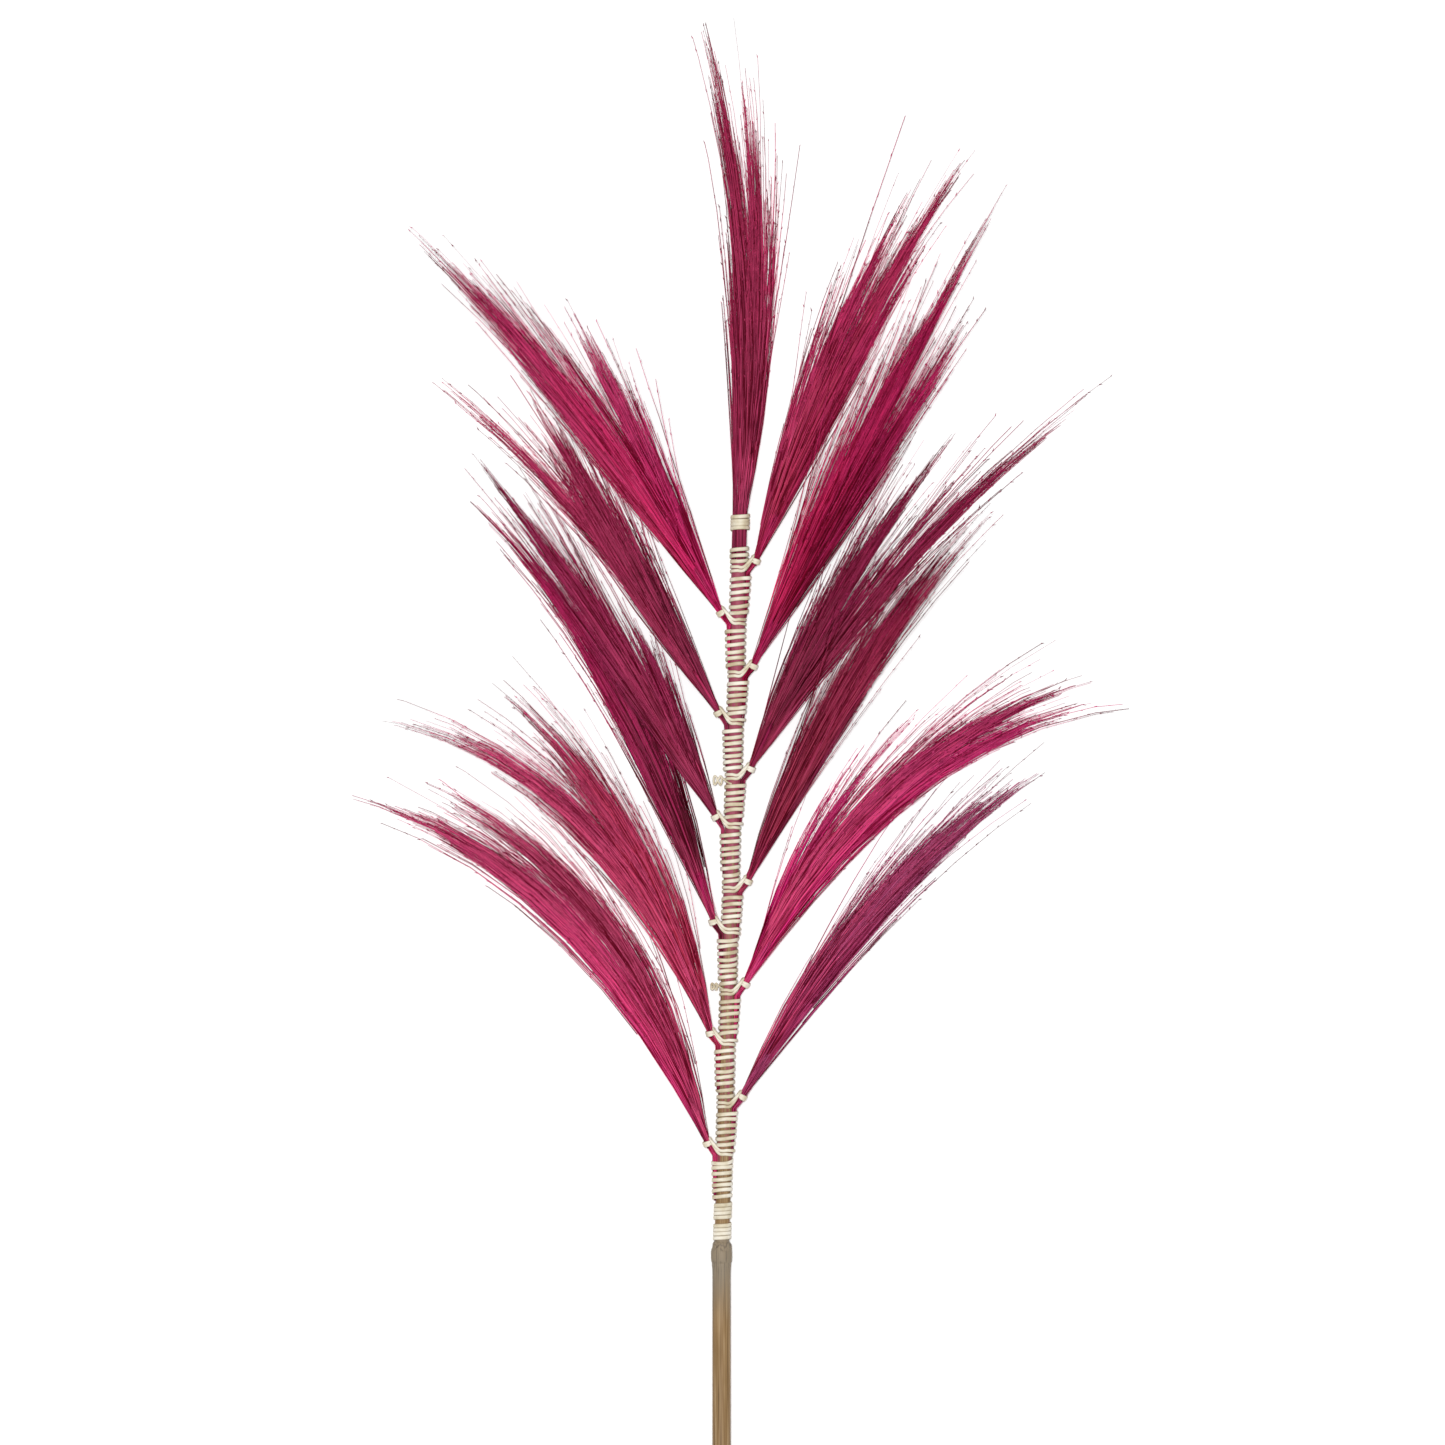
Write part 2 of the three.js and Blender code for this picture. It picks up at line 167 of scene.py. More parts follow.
class Tree:
    """A node tree that is written as expressions."""

    def __init__(self, nodes: Any) -> None:
        """Keeps the tree's data.

        Args:
            nodes: the shader or geometry tree to write to.
        """
        self.data = nodes

    def add(self, kind: str, settings: dict[str, Any], inputs: dict[Any, Any]) -> Any:
        """Adds one node.

        Args:
            kind: the node's type.
            settings: its properties, which are set first.
            inputs: the values or links of its sockets, by name or number.

        Returns:
            The node.
        """
        node = self.data.nodes.new(kind)
        for name, value in settings.items():
            setattr(node, name, value)
        for key, value in inputs.items():
            socket = node.inputs[key] if isinstance(key, int) else self._open(node.inputs, key)
            if isinstance(value, Sig):
                self.data.links.new(value.socket, socket)
            else:
                socket.default_value = value
        return node

    def _open(self, sockets: Any, name: str) -> Any:
        """The usable socket with a name.

        Args:
            sockets: a node's inputs or outputs.
            name: the socket's name.

        Returns:
            The first socket of that name that is in use.

        Raises:
            KeyError: when the node has none.
        """
        for socket in sockets:
            if socket.name == name and socket.enabled and not socket.is_unavailable:
                return socket
        raise KeyError(f"no open socket {name}")

    def read(self, node: Any, output: Any = 0) -> Sig:
        """A node's output, by name or number."""
        found = node.outputs[output] if isinstance(output, int) else self._open(node.outputs, output)
        return Sig(self, found)

    def math(self, operation: str, *values: Any) -> Sig:
        """Adds one Math node for an operation on values."""
        inputs = dict(enumerate(values))
        return self.read(self.add("ShaderNodeMath", {"operation": operation}, inputs))

    def vector(self, operation: str, *values: Any) -> Sig:
        """Adds one Vector Math node; a scale's factor is its second value.

        Args:
            operation: what the node does.
            values: its values or links.

        Returns:
            The node's vector.
        """
        inputs: dict[Any, Any] = dict(enumerate(values))
        if operation == "SCALE":
            inputs = {0: values[0], "Scale": values[1]}
        return self.read(self.add("ShaderNodeVectorMath", {"operation": operation}, inputs))

    def combine(self, x: Any, y: Any, z: Any) -> Sig:
        """A vector from its parts."""
        return self.read(self.add("ShaderNodeCombineXYZ", {}, {0: x, 1: y, 2: z}))

    def separate(self, vector: Sig) -> tuple[Sig, Sig, Sig]:
        """A vector's parts."""
        node = self.add("ShaderNodeSeparateXYZ", {}, {0: vector})
        return self.read(node, 0), self.read(node, 1), self.read(node, 2)

    def noise(self, vector: Sig, scale: float, detail: float = 2.0) -> Sig:
        """Noise between 0 and 1 over a vector.

        Args:
            vector: where the noise is read.
            scale: how fine it is.
            detail: how many finer layers it has.

        Returns:
            Values that average a half.
        """
        settings = {"noise_dimensions": "3D"}
        inputs = {"Vector": vector, "Scale": scale, "Detail": detail}
        return self.read(self.add("ShaderNodeTexNoise", settings, inputs), 0)


class GeometryTree(Tree):
    """A geometry node tree with named inputs."""

    def __init__(self, name: str) -> None:
        """Starts an empty tree with a geometry input and output.

        Args:
            name: the tree's name.
        """
        super().__init__(bpy.data.node_groups.new(name, "GeometryNodeTree"))
        self.data.interface.new_socket("Geometry", in_out="INPUT", socket_type="NodeSocketGeometry")
        self.data.interface.new_socket("Geometry", in_out="OUTPUT", socket_type="NodeSocketGeometry")
        self.entry = self.data.nodes.new("NodeGroupInput")
        self.ids: dict[str, str] = {}

    def geometry(self) -> Sig:
        """The mesh that the tree is given."""
        return Sig(self, self.entry.outputs["Geometry"])

    def size(self, name: str, kind: str = "NodeSocketFloat") -> Sig:
        """A new named input of the tree.

        Args:
            name: the input's name.
            kind: its type of socket.

        Returns:
            The input's value.
        """
        item = self.data.interface.new_socket(name, in_out="INPUT", socket_type=kind)
        self.ids[name] = item.identifier
        return Sig(self, self.entry.outputs[name])

    def named(self, name: str, kind: str = "FLOAT") -> Sig:
        """A named attribute's values."""
        node = self.add("GeometryNodeInputNamedAttribute", {"data_type": kind}, {"Name": name})
        return self.read(node, "Attribute")

    def keep(self, geometry: Sig, name: str, value: Sig, domain: Domain, kind: str = "FLOAT") -> Sig:
        """Stores values on the geometry under a name.

        Args:
            geometry: what carries the values.
            name: the attribute's name.
            value: the values.
            domain: what they belong to.
            kind: their type.

        Returns:
            The geometry with its values.
        """
        settings = {"data_type": kind, "domain": domain.value}
        inputs = {"Geometry": geometry, "Name": name, "Value": value}
        return self.read(self.add("GeometryNodeStoreNamedAttribute", settings, inputs), 0)

    def chance(self, low: float, high: float, seed: Any) -> Sig:
        """A random number for each element."""
        inputs = {"Min": low, "Max": high, "Seed": seed}
        return self.read(self.add("FunctionNodeRandomValue", {"data_type": "FLOAT"}, inputs), "Value")

    def place(self, geometry: Sig, position: Sig) -> Sig:
        """Moves every point to a position."""
        inputs = {"Geometry": geometry, "Position": position}
        return self.read(self.add("GeometryNodeSetPosition", {}, inputs), 0)

    def finish(self, geometry: Sig, material: Sig) -> None:
        """Ends the tree with plain smooth geometry that has its material.

        Args:
            geometry: what the tree has made.
            material: its material.
        """
        real = self.read(self.add("GeometryNodeRealizeInstances", {}, {"Geometry": geometry}), 0)
        soft = self.read(self.add("GeometryNodeSetShadeSmooth", {}, {"Geometry": real}), 0)
        dressed = self.add("GeometryNodeSetMaterial", {}, {"Geometry": soft, "Material": material})
        leave = self.data.nodes.new("NodeGroupOutput")
        self.data.links.new(dressed.outputs[0], leave.inputs["Geometry"])

    def run(self, name: str, source: bpy.types.Mesh, values: dict[str, Any]) -> bpy.types.Object:
        """Runs the tree on a mesh.

        Args:
            name: the finished piece's name.
            source: the mesh that the tree is given.
            values: the tree's named inputs.

        Returns:
            A plain mesh object, with no modifier left.
        """
        piece = bpy.data.objects.new(name, source)
        bpy.context.scene.collection.objects.link(piece)
        modifier = piece.modifiers.new("make", "NODES")
        modifier.node_group = self.data
        for key, value in values.items():
            modifier[self.ids[key]] = value
        depsgraph = bpy.context.evaluated_depsgraph_get()
        made = bpy.data.meshes.new_from_object(
            piece.evaluated_get(depsgraph), preserve_all_data_layers=True, depsgraph=depsgraph
        )
        piece.modifiers.remove(modifier)
        piece.data = made
        made.name = name
        for attribute in [a.name for a in made.attributes if not a.is_internal]:
            if attribute != BAKE_MAP and attribute not in ("position", "material_index", "sharp_face"):
                made.attributes.remove(made.attributes[attribute])
        return piece


# ---------------------------------------------------------------------------------------------
# Finishes


def linear(code: str) -> tuple[float, float, float, float]:
    """A colour from its six-figure code, as linear red, green, blue and 1.

    Args:
        code: two hexadecimal figures each for red, green and blue.

    Returns:
        The colour in linear light.
    """
    parts = [int(code[i : i + 2], 16) / 255 for i in (0, 2, 4)]
    red, green, blue = (c / 12.92 if c <= 0.04045 else ((c + 0.055) / 1.055) ** 2.4 for c in parts)
    return red, green, blue, 1.0


class ShaderTree(Tree):
    """A material's node tree with one surface shader."""

    def __init__(self, name: str) -> None:
        """Starts a material.

        Args:
            name: the material's name.
        """
        self.material = bpy.data.materials.new(name)
        self.material.use_nodes = True
        super().__init__(self.material.node_tree)
        self.surface = next(n for n in self.data.nodes if n.type == "BSDF_PRINCIPLED")

    def place_in(self) -> Sig:
        """The place of each point in the branch."""
        return self.read(self.add("ShaderNodeTexCoord", {}, {}), "Object")

    def map(self, name: str) -> Sig:
        """A named UV map's coordinates."""
        return self.read(self.add("ShaderNodeUVMap", {"uv_map": name}, {}), 0)

    def ramp(self, factor: Sig, stops: Sequence[tuple[float, str]]) -> Sig:
        """Colours between stops along a factor.

        Args:
            factor: where along the stops each point lies.
            stops: positions and colour codes.

        Returns:
            The colour.
        """
        node = self.add("ShaderNodeValToRGB", {}, {0: factor})
        elements = node.color_ramp.elements
        while len(elements) < len(stops):
            elements.new(0.5)
        for element, (position, code) in zip(elements, stops):
            element.position = position
            element.color = linear(code)
        return self.read(node, 0)

    def mix(self, factor: Any, first: Any, second: Any, blend: str = "MIX") -> Sig:
        """One colour blended over another.

        Args:
            factor: how much of the second shows.
            first: the colour below.
            second: the colour above.
            blend: how they blend.

        Returns:
            The blended colour.
        """
        settings = {"data_type": "RGBA", "blend_type": blend}
        inputs = {"Factor": factor, "A": first, "B": second}
        return self.read(self.add("ShaderNodeMix", settings, inputs), "Result")

    def bump(self, height: Sig, strength: float, distance: float) -> Sig:
        """A normal from a height."""
        inputs = {"Height": height, "Strength": strength, "Distance": distance}
        return self.read(self.add("ShaderNodeBump", {}, inputs), 0)

    def set(self, **inputs: Any) -> bpy.types.Material:
        """Sets or links the surface's sockets.

        Args:
            inputs: values by socket name, with underscores for spaces.

        Returns:
            The finished material.
        """
        for name, value in inputs.items():
            socket = self.surface.inputs[name.replace("_", " ")]
            if isinstance(value, Sig):
                self.data.links.new(value.socket, socket)
            else:
                socket.default_value = value
        return self.material


@dataclass(frozen=True)
class FibreFinish:
    """Dyed grass fibre: colours from the fan's left edge to its right, fading towards the tips, with a
    painted highlight on the lighter streaks.

    streaks, bands and flecks are how many of each lie across one plume. shadow is the colour of the
    painted shade that the dark streaks multiply in between strands.
    """

    name: str
    slot: str
    stops: Sequence[tuple[float, str]]
    tip: str
    root: str = "a03060"
    fade: float = 0.8
    speck: float = 0.25
    # Colour of the painted shade between strands.
    shadow: str = "8e4262"
    streaks: float = 42.0
    bands: float = 13.0
    flecks: float = 160.0
    fleck_runs: float = 70.0
    root_end: float = 0.28
    gloss: float = 0.04

    def material(self) -> bpy.types.Material:
        """The fibre's material.

        Returns:
            A material that reads tint and length from the fibre's own map.
        """
        tree = ShaderTree(self.name)
        tint, along, _ = tree.separate(tree.map(BAKE_MAP))
        streak = tree.noise(tree.combine(tint * self.streaks, along * 2.2, 0.0), 1.0, 3.0)
        band = tree.noise(tree.combine(tint * self.bands, along * 1.5, 9.0), 1.0, 2.0)
        speckle = tree.noise(tree.combine(tint * self.flecks, along * self.fleck_runs, 4.0), 1.0, 1.0)
        dyed = tree.ramp((tint + (band - 0.5) * 0.25).most(0.0), self.stops)
        dyed = tree.mix(along.smooth(self.root_end, 0.02) * 0.75, dyed, linear(self.root))
        worn = tree.mix((along.smooth(0.55, 1.05) * self.fade).least(1.0), dyed, linear(self.tip))
        light = speckle.smooth(0.55, 0.7) * along.smooth(0.1, 0.6) * self.speck
        # Pale husk flecks, and a painted highlight on the lighter streaks of strands.
        flecks_and_highlights = tree.mix((light + streak.smooth(0.55, 0.66) * 0.4).least(0.8), worn, linear(self.tip))
        # Painted shade between strands on the dark streaks, and a darker random tone on some lock bands,
        # both multiplied in with the shadow colour.
        shade = (streak.smooth(0.53, 0.43) + band.smooth(0.48, 0.34) * 0.5).least(1.0)
        deep = tree.mix(shade, flecks_and_highlights, linear(self.shadow), "MULTIPLY")
        rough = 0.75 - streak * 0.2
        return tree.set(
            Base_Color=deep,
            Roughness=rough,
            Normal=tree.bump(streak, 0.25, 0.0002),
            Specular_IOR_Level=self.gloss,
        )


@dataclass(frozen=True)
class StripFinish:
    """Split reed: cream, with tan stains, fine grain along the strip and painted shade on its edges."""

    name: str = "split reed"
    slot: str = "strip"
    stain_scale: float = 70.0
    grain_lines: float = 14.0
    creams: Sequence[tuple[float, str]] = (
        (0.3, "c2b190"), (0.45, "ded3b8"), (0.6, "f2ebda"), (0.8, "faf6ea"),
    )

    def material(self) -> bpy.types.Material:
        """The strip's material.

        Returns:
            A material that reads across and along from the strip's own map.
        """
        tree = ShaderTree(self.name)
        across, along, _ = tree.separate(tree.map(BAKE_MAP))
        place = tree.place_in()
        stain = tree.noise(place, self.stain_scale, 3.0)
        grain = tree.noise(tree.combine(across * self.grain_lines, along * 3.0, 0.0), 1.0, 3.0)
        base = tree.ramp(stain, self.creams)
        lined = tree.mix(grain.smooth(0.55, 0.2) * 0.35, base, linear("a98c5a"), "MULTIPLY")
        # Painted shade: the strip darkens towards both edges, where its rounded back turns from the light.
        edge = tree.math("ABSOLUTE", across - 0.5).smooth(0.3, 0.5)
        shaded_edges = tree.mix(edge * 0.55, lined, linear("96794a"), "MULTIPLY")
        return tree.set(
            Base_Color=shaded_edges,
            Roughness=0.5 + stain * 0.2,
            Normal=tree.bump(grain, 0.35, 0.0002),
            Specular_IOR_Level=0.4,
        )


@dataclass(frozen=True)
class CaneFinish:
    """Dry reed cane: olive brown, streaked along its length, and weathered grey below its node.

    node_y and the two lengths are metres.
    """

    name: str = "dry cane"
    slot: str = "cane"
    node_y: float = 0.0
    weathered_length: float = 0.06
    torn_height: float = 0.0085
    fibre_scale: float = 900.0
    blotch_scale: float = 60.0
    browns: Sequence[tuple[float, str]] = (
        (0.25, "5a4327"), (0.45, "8a6c45"), (0.6, "a3855e"), (0.8, "b8a180"),
    )

    def material(self) -> bpy.types.Material:
        """The cane's material.

        Returns:
            A material with streaks along the cane and a greyer node.
        """
        tree = ShaderTree(self.name)
        place = tree.place_in()
        x, y, z = tree.separate(place)
        streak = tree.noise(tree.combine(x * self.fibre_scale, y * 14.0, z * self.fibre_scale), 1.0, 4.0)
        blotch = tree.noise(tree.combine(x * self.blotch_scale, y * 22.0, z * self.blotch_scale), 1.0, 3.0)
        base = tree.ramp(streak, self.browns)
        toned = tree.mix(blotch.smooth(0.4, 0.7) * 0.6, base, linear("80623a"))
        run = tree.noise(tree.combine(x * 260.0, y * 30.0, z * 260.0), 1.0, 2.0)
        above = y - self.node_y
        dye = (run + above * 0.9).smooth(0.55, 0.8) * above.above(0.02)
        toned = tree.mix(dye * 0.85, toned, linear("a03a5e"))
        weathered = (above + self.weathered_length).smooth(0.0, 0.055) * (0.014 - above).above(0.0)
        toned = tree.mix(weathered * (0.35 + blotch * 0.7).least(0.85), toned, linear("8f8676"))
        ragged = tree.math("ABSOLUTE", above - self.torn_height - (run - 0.5) * 0.012)
        lines = ragged.smooth(0.0014, 0.0003) * 0.4 + weathered * streak.smooth(0.5, 0.38) * 0.35
        grey = tree.mix(lines, toned, linear("51463c"))
        return tree.set(
            Base_Color=grey,
            Roughness=0.5 + blotch * 0.25,
            Normal=tree.bump(streak, 0.5, 0.0003),
            Specular_IOR_Level=0.35,
        )


@dataclass(frozen=True)
class FloorFinish:
    """A plain pale floor with the faintest unevenness."""

    name: str = "pale floor"
    glow: float = 0.04

    def material(self) -> bpy.types.Material:
        """The floor's material.

        Returns:
            A near-white matt material.
        """
        tree = ShaderTree(self.name)
        cloud = tree.noise(tree.place_in(), 3.0, 2.0)
        tone = tree.mix(cloud, linear("fafafa"), linear("fcfcfc"))
        return tree.set(
            Base_Color=tone, Roughness=0.9, Specular_IOR_Level=0.1,
            Emission_Color=(1.0, 1.0, 1.0, 1.0), Emission_Strength=self.glow,
        )


# ---------------------------------------------------------------------------------------------
# Pieces


# A point of a middle line: its share of the length, its place, its directions and its half sizes.
Row = tuple[float, Vector, Vector, Vector, float, float]


@dataclass(frozen=True)
class Tuft:
    """One fan of fibre in a plume: its arc, its width and how its locks fill it.

    Angles are degrees. lean is from the cane at the collar, and bend is added by the tip. tint and
    span place its colours, and shortest is the share of its length that its shortest lock has.
    """

    length: float
    lean: float
    bend: float
    half_width: float
    locks: int
    tint: float = 0.5
    span: float = 0.3
    shortest: float = 0.55
    stray: float = 1.0
    spread: float = 4.2
    husks: float = 0.3
    strands: int = 140
    cut: float = 0.5
    stout: float = 1.0


@dataclass
class Stem:
    """Sizes that the cane, the binding and the plumes' stems share."""

    handle_radius: float = 7.2
    handle_length: float = 232.0
    butt_swell: float = 0.2
    node_swell: float = 1.2
    core_radius: float = 5.9
    core_clearance: float = 0.3
    lean: float = 1.45
    tongue_length: float = 36.0
    tongue_thickness: float = 3.0
    tongue_end_thickness: float = 1.0
    tongue_width: float = 7.0
    tongue_end_width: float = 5.0
    tongue_turn: float = 20.0
    neck_radius: float = 2.8
    neck_rise: float = 10.0
    top_stem_radius: float = 6.4
    top_stem_length: float = 38.0
    collar_length: float = 6.0
    ride_height: float = 12.06
    flatness: float = 0.34
    core_length: float = 556.0

    @property
    def node_radius(self) -> float:
        """Radius of the cane's node, which rests on the table."""
        return self.handle_radius + self.node_swell

    def crown(self) -> Matrix:
        """The frame of all that is bound above the node.

        Returns:
            A matrix from millimetres along the leaning core to metres in the part's frame.
        """
        low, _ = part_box("cane")
        radius = self.node_radius * MM
        node = Vector((low.x + radius, low.y + self.handle_length * MM, low.z + radius))
        turn = Matrix.Rotation(-math.radians(self.lean), 4, "Z")
        return Matrix.Translation(node) @ turn @ Matrix.Scale(MM, 4)

    def tongue(self, side: Side, share: float) -> tuple[float, float, float, float, float]:
        """A bound stem's section.

        Args:
            side: the side that its plume leaves from.
            share: 0 at its thin lower end and 1 where its neck leaves.

        Returns:
            Its middle's x and z, its turn, and its half thickness and half width.
        """
        thick = (self.tongue_end_thickness * (1 - share) + self.tongue_thickness * share) / 2
        wide = (self.tongue_end_width * (1 - share) + self.tongue_width * share) / 2
        turn = side.value * math.radians(self.tongue_turn)
        offset = side.value * (self.core_radius + self.core_clearance + thick)
        return offset * math.cos(turn), offset * math.sin(turn), turn, thick, wide


@dataclass
class Plume:
    """One plume: the stem under the binding, the neck in its collar, and the fans of fibre."""

    name: str
    side: Side
    station: float
    tufts: Sequence[Tuft]
    finish: FibreFinish
    rides: bool = False
    seed: int = 1
    strand_radius: float = 0.31
    stem_locks: int = 7
    stem_strands: int = 26
    stem_steps: int = 4
    stem_run: float = 40.0
    steps: int = 10
    bend_power: float = 1.35
    swell_power: float = 0.9
    tip_share: float = 0.42
    tip_radius: float = 0.9
    landing: float = 0.3
    riding: tuple[float, float] = (0.08, 0.4)

    def direction(self, degrees: float) -> Vector:
        """The way that a fan points at a lean from the core."""
        turn = math.radians(degrees)
        return Vector((self.side.value * math.sin(turn), math.cos(turn), 0.0))

    def collar(self, stem: Stem) -> Vector:
        """The middle of the neck's collar, from the node, in millimetres."""
        low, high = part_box(f"collar_{self.name}")
        return stem.crown().inverted() @ ((low + high) / 2)

    def rooted(self, stem: Stem) -> tuple[Vector, float]:
        """Where the fans grow from, and the radius that they have there."""
        neck = self.direction(self.tufts[0].lean)
        return self.collar(stem) + neck * (stem.collar_length / 2), stem.neck_radius - 0.3

    def arc(self, stem: Stem, tuft: Tuft) -> list[Row]:
        """A fan's middle line.

        Args:
            stem: the shared sizes.
            tuft: the fan.

        Returns:
            Points with their across and upright directions and half sizes, root first.
        """
        root, root_radius = self.rooted(stem)
        neck = self.direction(self.tufts[0].lean)
        rows = []
        if isinstance(self, TopPlume):
            behind = root - Vector((0.0, stem.top_stem_length, 0.0))
        else:
            behind = root - neck * (stem.collar_length + 1.0)
        across, upright = Vector((neck.y, -neck.x, 0.0)), Vector((0, 0, 1))
        rows.append((0.0, behind, across, upright, root_radius, root_radius))
        point = root.copy()
        rest = -stem.node_radius
        lift = stem.ride_height if self.rides else 0.0
        for index in range(self.steps + 1):
            share = index / self.steps
            way = self.direction(tuft.lean + tuft.bend * share**self.bend_power)
            full = math.sin(math.pi * min(share, 0.5)) ** self.swell_power
            if share > 0.5:
                taper = math.cos(math.pi * (share - 0.5)) ** self.swell_power if share < 1 else 0.0
                full = self.tip_share + (1 - self.tip_share) * taper
            slim = root_radius * (1 - share) + self.tip_radius * share
            wide = slim + (tuft.half_width - slim) * full
            deep = slim + (tuft.half_width * stem.flatness - slim) * full
            height = rest + deep + lift * smoothstep(share, *self.riding)
            place = point.copy()
            place.z = root.z + (height - root.z) * smoothstep(share, 0.0, self.landing)
            rows.append((share, place, Vector((way.y, -way.x, 0.0)), upright, wide, deep))
            midway = self.direction(tuft.lean + tuft.bend * (share + 0.5 / self.steps) ** self.bend_power)
            point += midway * (tuft.length / self.steps)
        return rows

    def stem_arc(self, stem: Stem) -> list[Row]:
        """The middle line of the stem, from its end under the binding through the collar.

        Args:
            stem: the shared sizes.

        Returns:
            Points with their directions and half sizes.
        """
        exit_height = self.station - stem.neck_rise
        rows = []
        for index in range(self.stem_steps + 1):
            share = index / self.stem_steps
            x, z, turn, thick, wide = stem.tongue(self.side, share)
            place = Vector((x, exit_height - stem.tongue_length * (1 - share), z))
            out = Vector((math.cos(turn), 0.0, math.sin(turn)))
            aside = Vector((-math.sin(turn), 0.0, math.cos(turn)))
            rows.append((share * 0.4, place, out, aside, thick, wide))
        neck = self.direction(self.tufts[0].lean)
        across = Vector((neck.y, -neck.x, 0.0))
        root, radius = self.rooted(stem)
        stops = ((0.6, stem.collar_length, 1.0), (0.7, 0.0, 1.0), (1.0, -self.stem_run, 1.6))
        for share, back, reach in stops:
            place = root - neck * back
            rows.append((share, place, across, Vector((0, 0, 1)), radius * reach, radius * reach))
        return rows

    def guides(self, stem: Stem) -> bpy.types.Mesh:
        """The middle lines of every fan as one mesh of edges.

        Args:
            stem: the shared sizes.

        Returns:
            A mesh whose points carry what the fibre tree needs.
        """
        bound = Tuft(
            length=80, lean=0, bend=0, half_width=1, locks=self.stem_locks, shortest=0.95,
            stray=0.0, spread=0.7, husks=0.0, strands=self.stem_strands, cut=0.1,
        )
        lines = [(self.stem_arc(stem), bound)]
        lines += [(self.arc(stem, tuft), tuft) for tuft in self.tufts]
        return guide_mesh(f"{self.name} guides", lines, -float(self.side.value))

    def build(self, tree: "FibreTree", stem: Stem) -> bpy.types.Object:
        """Builds the plume and puts it in the part's frame.

        Args:
            tree: the fibre tree.
            stem: the shared sizes.

        Returns:
            The finished piece.
        """
        values = {
            "Strand Radius": self.strand_radius,
            "Table": -stem.node_radius,
            "Seed": self.seed,
            "Material": self.finish.material(),
        }
        node = f"plume_{self.name}"
        piece = tree.run(f"fibre_{self.name}", self.guides(stem), values)
        piece.data.transform(stem.crown())
        return settle(piece, self.finish.slot, node)


@dataclass
class TopPlume(Plume):
    """The plume at the top, whose round stem stands on the core's end inside the binding."""

    def collar(self, stem: Stem) -> Vector:
        """The middle of the stem where it leaves the binding."""
        return Vector((0.0, self.station, 0.0))

    def rooted(self, stem: Stem) -> tuple[Vector, float]:
        """Where the fans grow from, and the radius that they have there."""
        return self.collar(stem), stem.top_stem_radius - 0.4

    def stem_arc(self, stem: Stem) -> list[Row]:
        """The middle line of the stem inside the binding.

        Args:
            stem: the shared sizes.

        Returns:
            Points with their directions and half sizes.
        """
        across, upright = Vector((1, 0, 0)), Vector((0, 0, 1))
        radius = stem.top_stem_radius - 0.2
        stops = (-stem.top_stem_length + 0.5, -20.0, 0.0, 40.0)
        places = [Vector((0.0, self.station + stop, 0.0)) for stop in stops]
        return [(i / 3, place, across, upright, radius, radius) for i, place in enumerate(places)]


